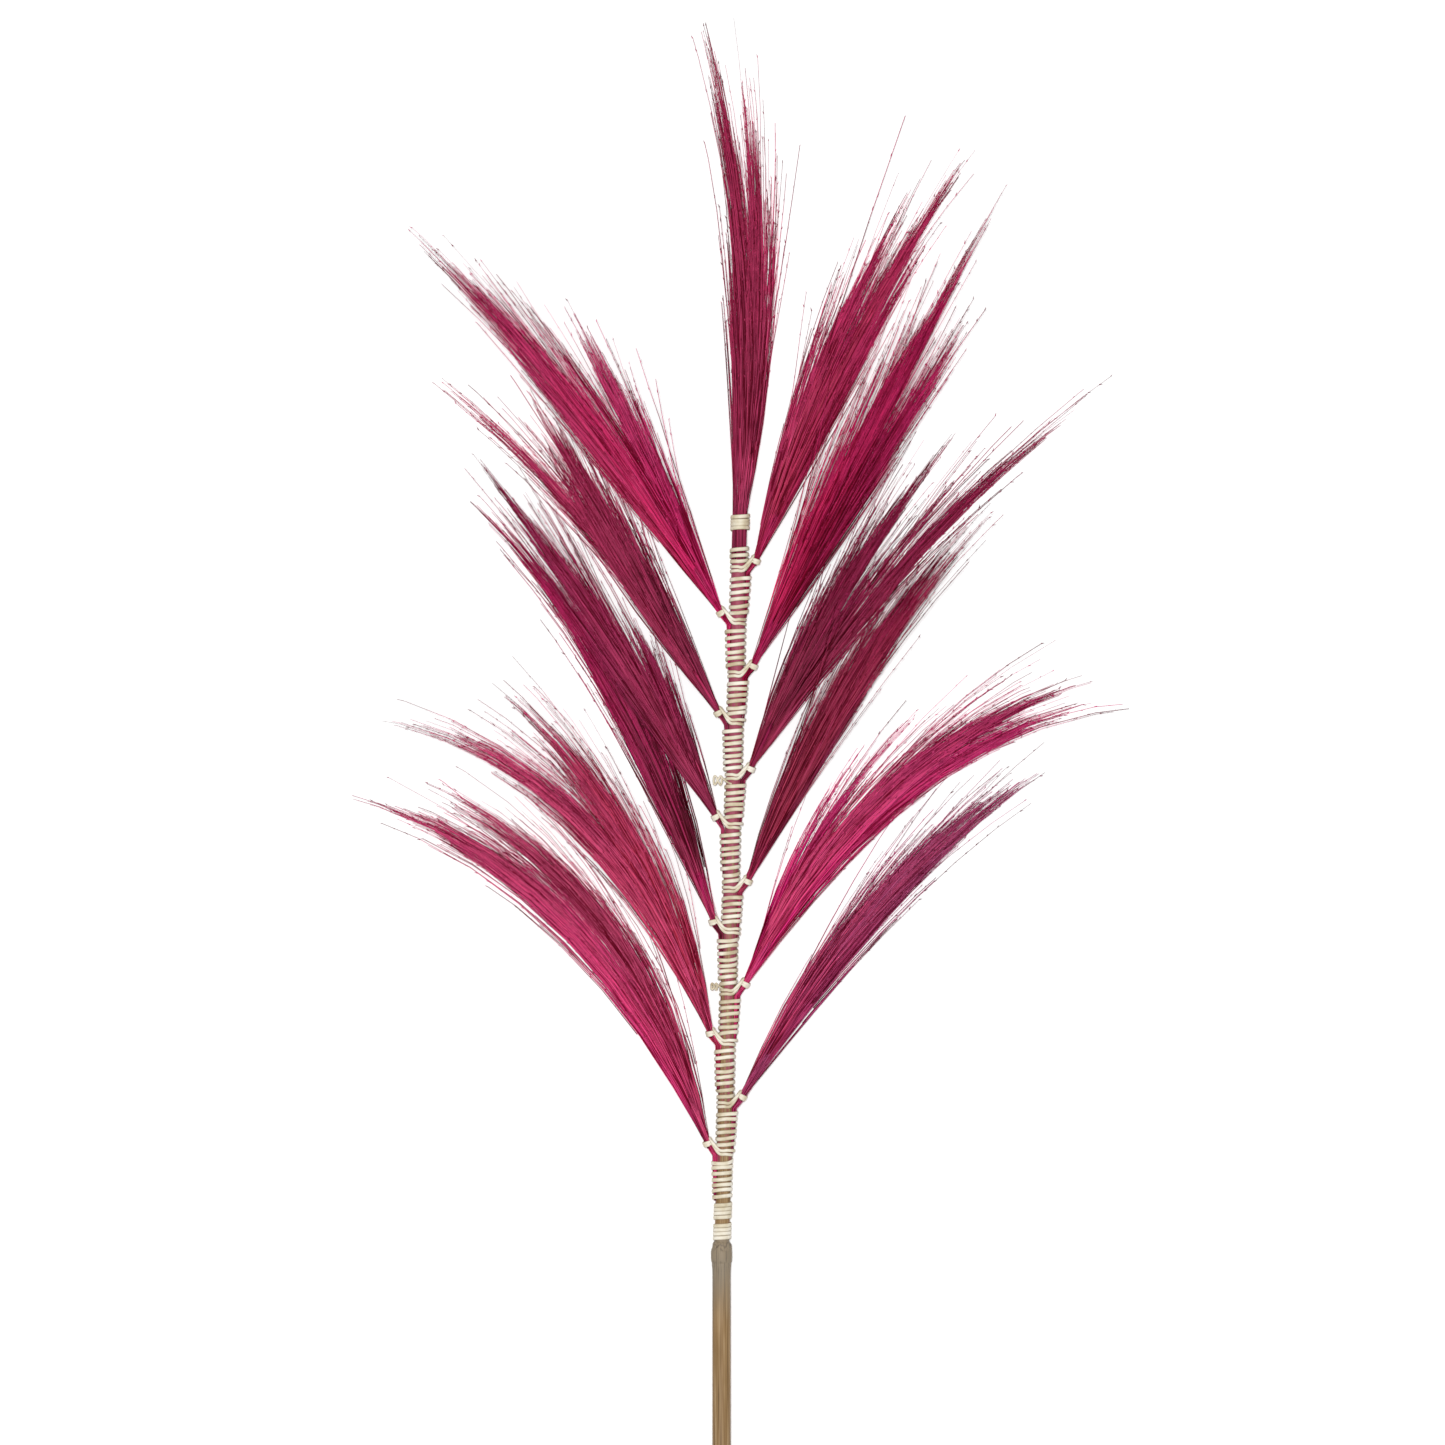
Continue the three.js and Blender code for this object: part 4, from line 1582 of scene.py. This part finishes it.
    def _run(
        self, tree: LashTree, name: str, points: Sequence[Vector], facing: Sequence[Vector],
        material: bpy.types.Material, slim: float,
    ) -> bpy.types.Object:
        """Sweeps the strip along points and puts it in the part's frame.

        Args:
            tree: the lashing tree.
            name: the piece's name.
            points: what the strip's middle follows.
            facing: the way that its back faces at each point.
            material: its material.
            slim: its share of the strip's full width.

        Returns:
            The piece.
        """
        line = bpy.data.meshes.new(f"{name} line")
        line.from_pydata(points, [(i, i + 1) for i in range(len(points) - 1)], [])
        flat = [value for way in facing for value in way]
        line.attributes.new("facing", "FLOAT_VECTOR", "POINT").data.foreach_set("vector", flat)
        values = {"Width": self.width * slim, "Thickness": self.thickness * 0.9, "Material": material}
        piece = tree.run(name, line, values)
        piece.data.transform(self.bundle.stem.crown())
        return piece


# ---------------------------------------------------------------------------------------------
# Cane


@dataclass
class Cane:
    """The reed cane: a bare handle, one node with its torn sheath, and the core under the strip."""

    stem: Stem
    finish: CaneFinish
    around: int = 56
    pith_radius: float = 3.1
    pith_depth: float = 1.4
    pith_lip: float = 0.5
    hub: float = 0.3
    ridge: float = 0.12
    sheath: float = 0.5
    shoulder: tuple[float, float] = (9.5, 12.0)
    handle_step: float = 4.0
    node_reach: float = 14.0
    node_step: float = 0.7
    node_rows: int = 38
    core_step: float = 6.0

    def radius(self, y: float, angle: float) -> float:
        """The cane's radius at a height from its node and an angle round it.

        Args:
            y: the height above the node.
            angle: the angle round the cane.

        Returns:
            The radius, with the node's swell, the torn sheath and the grain.
        """
        stem = self.stem
        if y < 0:
            base = stem.handle_radius + stem.butt_swell * smoothstep(-y, 120.0, stem.handle_length)
        else:
            step = stem.core_radius - stem.handle_radius
            base = stem.handle_radius + step * smoothstep(y, *self.shoulder)
        swell = stem.node_swell * math.exp(-((y + 1.0) / 6.5) ** 2)
        waves = ((2.0, 3, 0.7), (1.3, 7, 2.1), (0.7, 11, 0.0))
        ragged = sum(tall * math.sin(count * angle + turn) for tall, count, turn in waves)
        torn = 1 - smoothstep(y, 6.2 + ragged, 7.0 + ragged)
        sheath = self.sheath * smoothstep(y, -2.0, 5.0 + ragged) * torn
        ring = -0.3 * math.exp(-((y + 6.0) / 0.8) ** 2)
        grain = self.ridge * math.sin(23 * angle + 0.01 * y) * math.sin(5 * angle + 1.3)
        return min(base + swell + sheath + ring + grain, stem.node_radius + 0.02 * (y > 0))

    def rows(self) -> list[float]:
        """The heights of the rings of points, from the cut end up.

        Returns:
            Heights from the node, closest together about the node itself.
        """
        low, high, near = -self.stem.handle_length + 0.3, self.stem.core_length - 1.2, self.node_reach
        handle_rows = int((-near - low) / self.handle_step)
        core_rows = math.ceil((high - 0.3 - near) / self.core_step)
        heights = [low + i * self.handle_step for i in range(handle_rows)]
        heights += [-near + i * self.node_step for i in range(self.node_rows)]
        heights += [near + i * self.core_step for i in range(core_rows)]
        return [*heights, high]

    def build(self) -> None:
        """Builds the cane."""
        stem = self.stem
        points: list[Vector] = []
        faces: list[list[int]] = []
        rings: list[int] = []

        def ring(y: float, scale: float, fixed: float | None = None) -> None:
            """Adds one ring of points.

            Args:
                y: its height from the node.
                scale: its share of the cane's radius there.
                fixed: its radius, where it isn't the cane's.
            """
            rings.append(len(points))
            for i in range(self.around):
                angle = math.tau * i / self.around
                reach = fixed if fixed is not None else self.radius(y, angle) * scale
                points.append(Vector((reach * math.cos(angle), y, reach * math.sin(angle))))

        low = -stem.handle_length
        ring(low + self.pith_depth, 1.0, self.hub)
        ring(low + self.pith_depth, 1.0, self.pith_radius * 0.9)
        ring(low + 0.05, 1.0, self.pith_radius)
        ring(low, 1.0, self.pith_radius + self.pith_lip)
        ring(low, 0.955)
        for y in self.rows():
            ring(y, 1.0)
        ring(stem.core_length, 0.8)
        ring(stem.core_length, 1.0, self.hub)
        for a, b in zip(rings, rings[1:]):
            for i in range(self.around):
                j = (i + 1) % self.around
                faces.append([a + j, a + i, b + i, b + j])
        faces.append([rings[0] + i for i in range(self.around)])
        faces.append([rings[-1] + i for i in reversed(range(self.around))])
        mesh = bpy.data.meshes.new("reed cane")
        mesh.from_pydata(points, [], faces)
        mesh.update()
        piece = bpy.data.objects.new("reed_cane", mesh)
        bpy.context.scene.collection.objects.link(piece)
        handle = self.handle_frame()
        crown = stem.crown()
        for vertex in mesh.vertices:
            way = crown if vertex.co.y > 0 else handle
            vertex.co = way @ vertex.co
        mesh.shade_smooth()
        mesh.materials.append(self.finish.material())
        settle(piece, self.finish.slot, "cane")

    def handle_frame(self) -> Matrix:
        """The frame of the bare handle, which doesn't lean."""
        crown = self.stem.crown()
        return Matrix.Translation(crown.translation) @ Matrix.Scale(MM, 4)


# ---------------------------------------------------------------------------------------------
# Studio


@dataclass
class Studio:
    """A pale floor, an even overhead light and a camera that looks straight down."""

    stem: Stem
    finish: FloorFinish
    floor_size: float = 60.0
    frame_width: float = 1.156
    lens: float = 200.0
    sensor: float = 36.0
    centre: tuple[float, float] = (0.0008, 0.426)
    sky: float = 0.24
    lamp: float = 490.0
    lamp_size: float = 1.3
    lamp_place: tuple[float, float, float] = (-0.25, 0.35, 7.5)

    def build(self) -> None:
        """Builds the floor, the lights and the camera."""
        half = self.floor_size / 2
        mesh = bpy.data.meshes.new("floor")
        corners = [(-half, -half, 0), (half, -half, 0), (half, half, 0), (-half, half, 0)]
        mesh.from_pydata(corners, [], [[0, 1, 2, 3]])
        mesh.materials.append(self.finish.material())
        floor = bpy.data.objects.new("floor", mesh)
        bpy.context.scene.collection.objects.link(floor)
        world = bpy.data.worlds.new("soft room")
        world.use_nodes = True
        back = next(n for n in world.node_tree.nodes if n.type == "BACKGROUND")
        back.inputs["Color"].default_value = (1.0, 1.0, 1.0, 1.0)
        back.inputs["Strength"].default_value = self.sky
        bpy.context.scene.world = world
        light = bpy.data.lights.new("overhead", "AREA")
        light.shape = "SQUARE"
        light.size = self.lamp_size
        light.energy = self.lamp
        lamp = bpy.data.objects.new("overhead", light)
        lamp.location = self.lamp_place
        lamp.rotation_euler = (Vector((0, 0, 0)) - lamp.location).to_track_quat("-Z", "Y").to_euler()
        bpy.context.scene.collection.objects.link(lamp)
        view = bpy.data.cameras.new("camera")
        view.lens = self.lens
        view.sensor_width = self.sensor
        view.clip_end = 100.0
        camera = bpy.data.objects.new("camera", view)
        distance = self.frame_width * self.lens / self.sensor
        x, y = self.centre
        node = self.stem.crown().translation
        camera.location = (node.x + x, node.y + y, distance)
        bpy.context.scene.collection.objects.link(camera)
        bpy.context.scene.camera = camera
        bpy.context.scene.view_settings.view_transform = "Standard"


# ---------------------------------------------------------------------------------------------
# The branch


def dye(name: str, slot: str, root: str, across: Sequence[str], tip: str) -> FibreFinish:
    """A fibre finish from its root colour, its colours from left to right, and its tip colour."""
    stops = [(0.06 + 0.88 * i / (len(across) - 1), code) for i, code in enumerate(across)]
    return FibreFinish(name, slot, stops, tip, root=root)


def plumes() -> list[Plume]:
    """The thirteen plumes, from the top down.

    Returns:
        The plumes, each with its fans, its dye and its own seed.
    """
    magenta, burgundy, rose = "grass_magenta", "grass_burgundy", "grass_rose"
    left, right = Side.LEFT, Side.RIGHT

    # Each ragged edge of a fan: its turn from the fan, its share of the length, and its locks.
    edges = ((1.2, 1.09, 15), (-3.0, 0.97, 25))

    def fans(*rows: tuple[float, ...]) -> list[Tuft]:
        """The fans of a plume, which share its colours from left to right.

        Args:
            rows: each fan's length, lean, bend and half width, and a fifth number that thins it.

        Returns:
            Each fan, followed by its two sparse edges.
        """
        widths = sum(row[3] for row in rows)
        made, place = [], 0.0
        for length, lean, bend, half, *thin in rows:
            fill = thin[0] if thin else 1.0
            share = half / widths
            locks = round(5 + half * 0.5)
            made.append(
                Tuft(
                    length * 1.07, lean, bend, half * 0.82, locks, place + share / 2, share * 0.55,
                    strands=round(120 * fill), husks=0.3 + 0.4 * (1 - fill),
                    spread=1.7 + half * 0.1, cut=0.72,
                )
            )
            for turn, reach, count in edges:
                made.append(
                    Tuft(
                        length * reach, lean + turn, bend + turn, half + 2,
                        round(count * (0.5 + half / 16)), place + share / 2, share * 0.5,
                        shortest=0.5, stray=1.6, spread=3.0, husks=0.7, strands=2, cut=0.45, stout=1.5,
                    )
                )
            place += share
        return made

    rows = [
        TopPlume("top", left, 594, fans((374, -2, 19, 14), (366, -5, 17, 7)),
                 dye("dye top", burgundy, "ad3f63", ["ac335a", "bf466c", "ea5488"], "d23c6e")),
        Plume("left_1", left, 514, fans((394, 35, 13, 15), (274, 27, 3, 9)),
              dye("dye left 1", magenta, "cb1c65", ["ce3868", "ea317a", "d43576"], "e7568e"), True),
        Plume("right_1", right, 556, fans((364, 22, 12, 15), (313, 16, 15, 9)),
              dye("dye right 1", burgundy, "9b063d", ["d84e71", "b42858", "ea5888"], "e33d7d")),
        Plume("left_2", left, 434, fans((310, 33, -4, 17), (367, 33, 24, 8, 0.45)),
              dye("dye left 2", burgundy, "88304d", ["c1476e", "8d324f", "ea5888"], "dd4479")),
        Plume("right_2", right, 472, fans((411, 25, 4, 14), (352, 31, -1, 9)),
              dye("dye right 2", magenta, "953555", ["ea3874", "9d093a", "8f1b40"], "e7397f"), True),
        Plume("left_3", left, 351, fans((341, 32, 9, 15), (203, 25, -1, 7)),
              dye("dye left 3", magenta, "963655", ["a03a5b", "c0476e", "9c3859"], "cb3a73"), True),
        Plume("right_3", right, 390, fans((301, 25, 13, 13), (412, 33, 22, 8, 0.5)),
              dye("dye right 3", burgundy, "9f304a", ["a63c5b", "7f2c43", "c44971"], "bc2f66")),
        Plume("left_4", left, 267, fans((395, 20, 30, 14), (272, 24, 11, 9)),
              dye("dye left 4", magenta, "ea5888", ["b8446a", "66202f", "be466d"], "e7307e")),
        Plume("right_4", right, 300, fans((352, 24, 19, 18)),
              dye("dye right 4", burgundy, "a93e61", ["862f4b", "c94b6a", "973656"], "b12458"), True),
        Plume("left_5", left, 178, fans((348, 20, 37, 12), (377, 24, 61, 12, 0.6)),
              dye("dye left 5", burgundy, "7d1531", ["c4324a", "ea5882", "ea5888"], "e75b8e"), True),
        Plume("right_5", right, 218, fans((373, 29, 47, 12), (416, 30, 61, 9), (263, 21, 27, 4, 0.35)),
              dye("dye right 5", magenta, "ca2360", ["ea5888", "ea5088", "ea2183"], "e74c8e")),
        Plume("left_6", left, 90, fans((450, 26, 63, 13), (363, 19, 52, 11)),
              dye("dye left 6", magenta, "801b3c", ["ea4388", "ea5488", "bd4667"], "e7608e")),
        Plume("right_6", right, 128, fans((386, 31, 29, 14)),
              dye("dye right 6", rose, "8d3048", ["ea5888", "bd3e6d", "af376c"], "d4689b")),
    ]
    for index, plume in enumerate(rows):
        plume.seed = 100 * index + 11
    return rows


def main() -> None:
    """Builds the branch and its studio."""
    logging.basicConfig(level=logging.INFO, format="%(message)s")
    stem = Stem()
    made = plumes()
    tree = FibreTree()
    Cane(stem, CaneFinish(node_y=stem.crown().translation.y)).build()
    for plume in made:
        plume.build(tree, stem)
    Binding(Bundle(stem, made), StripFinish()).build()
    Studio(stem, FloorFinish()).build()


if __name__ == "__main__":
    main()
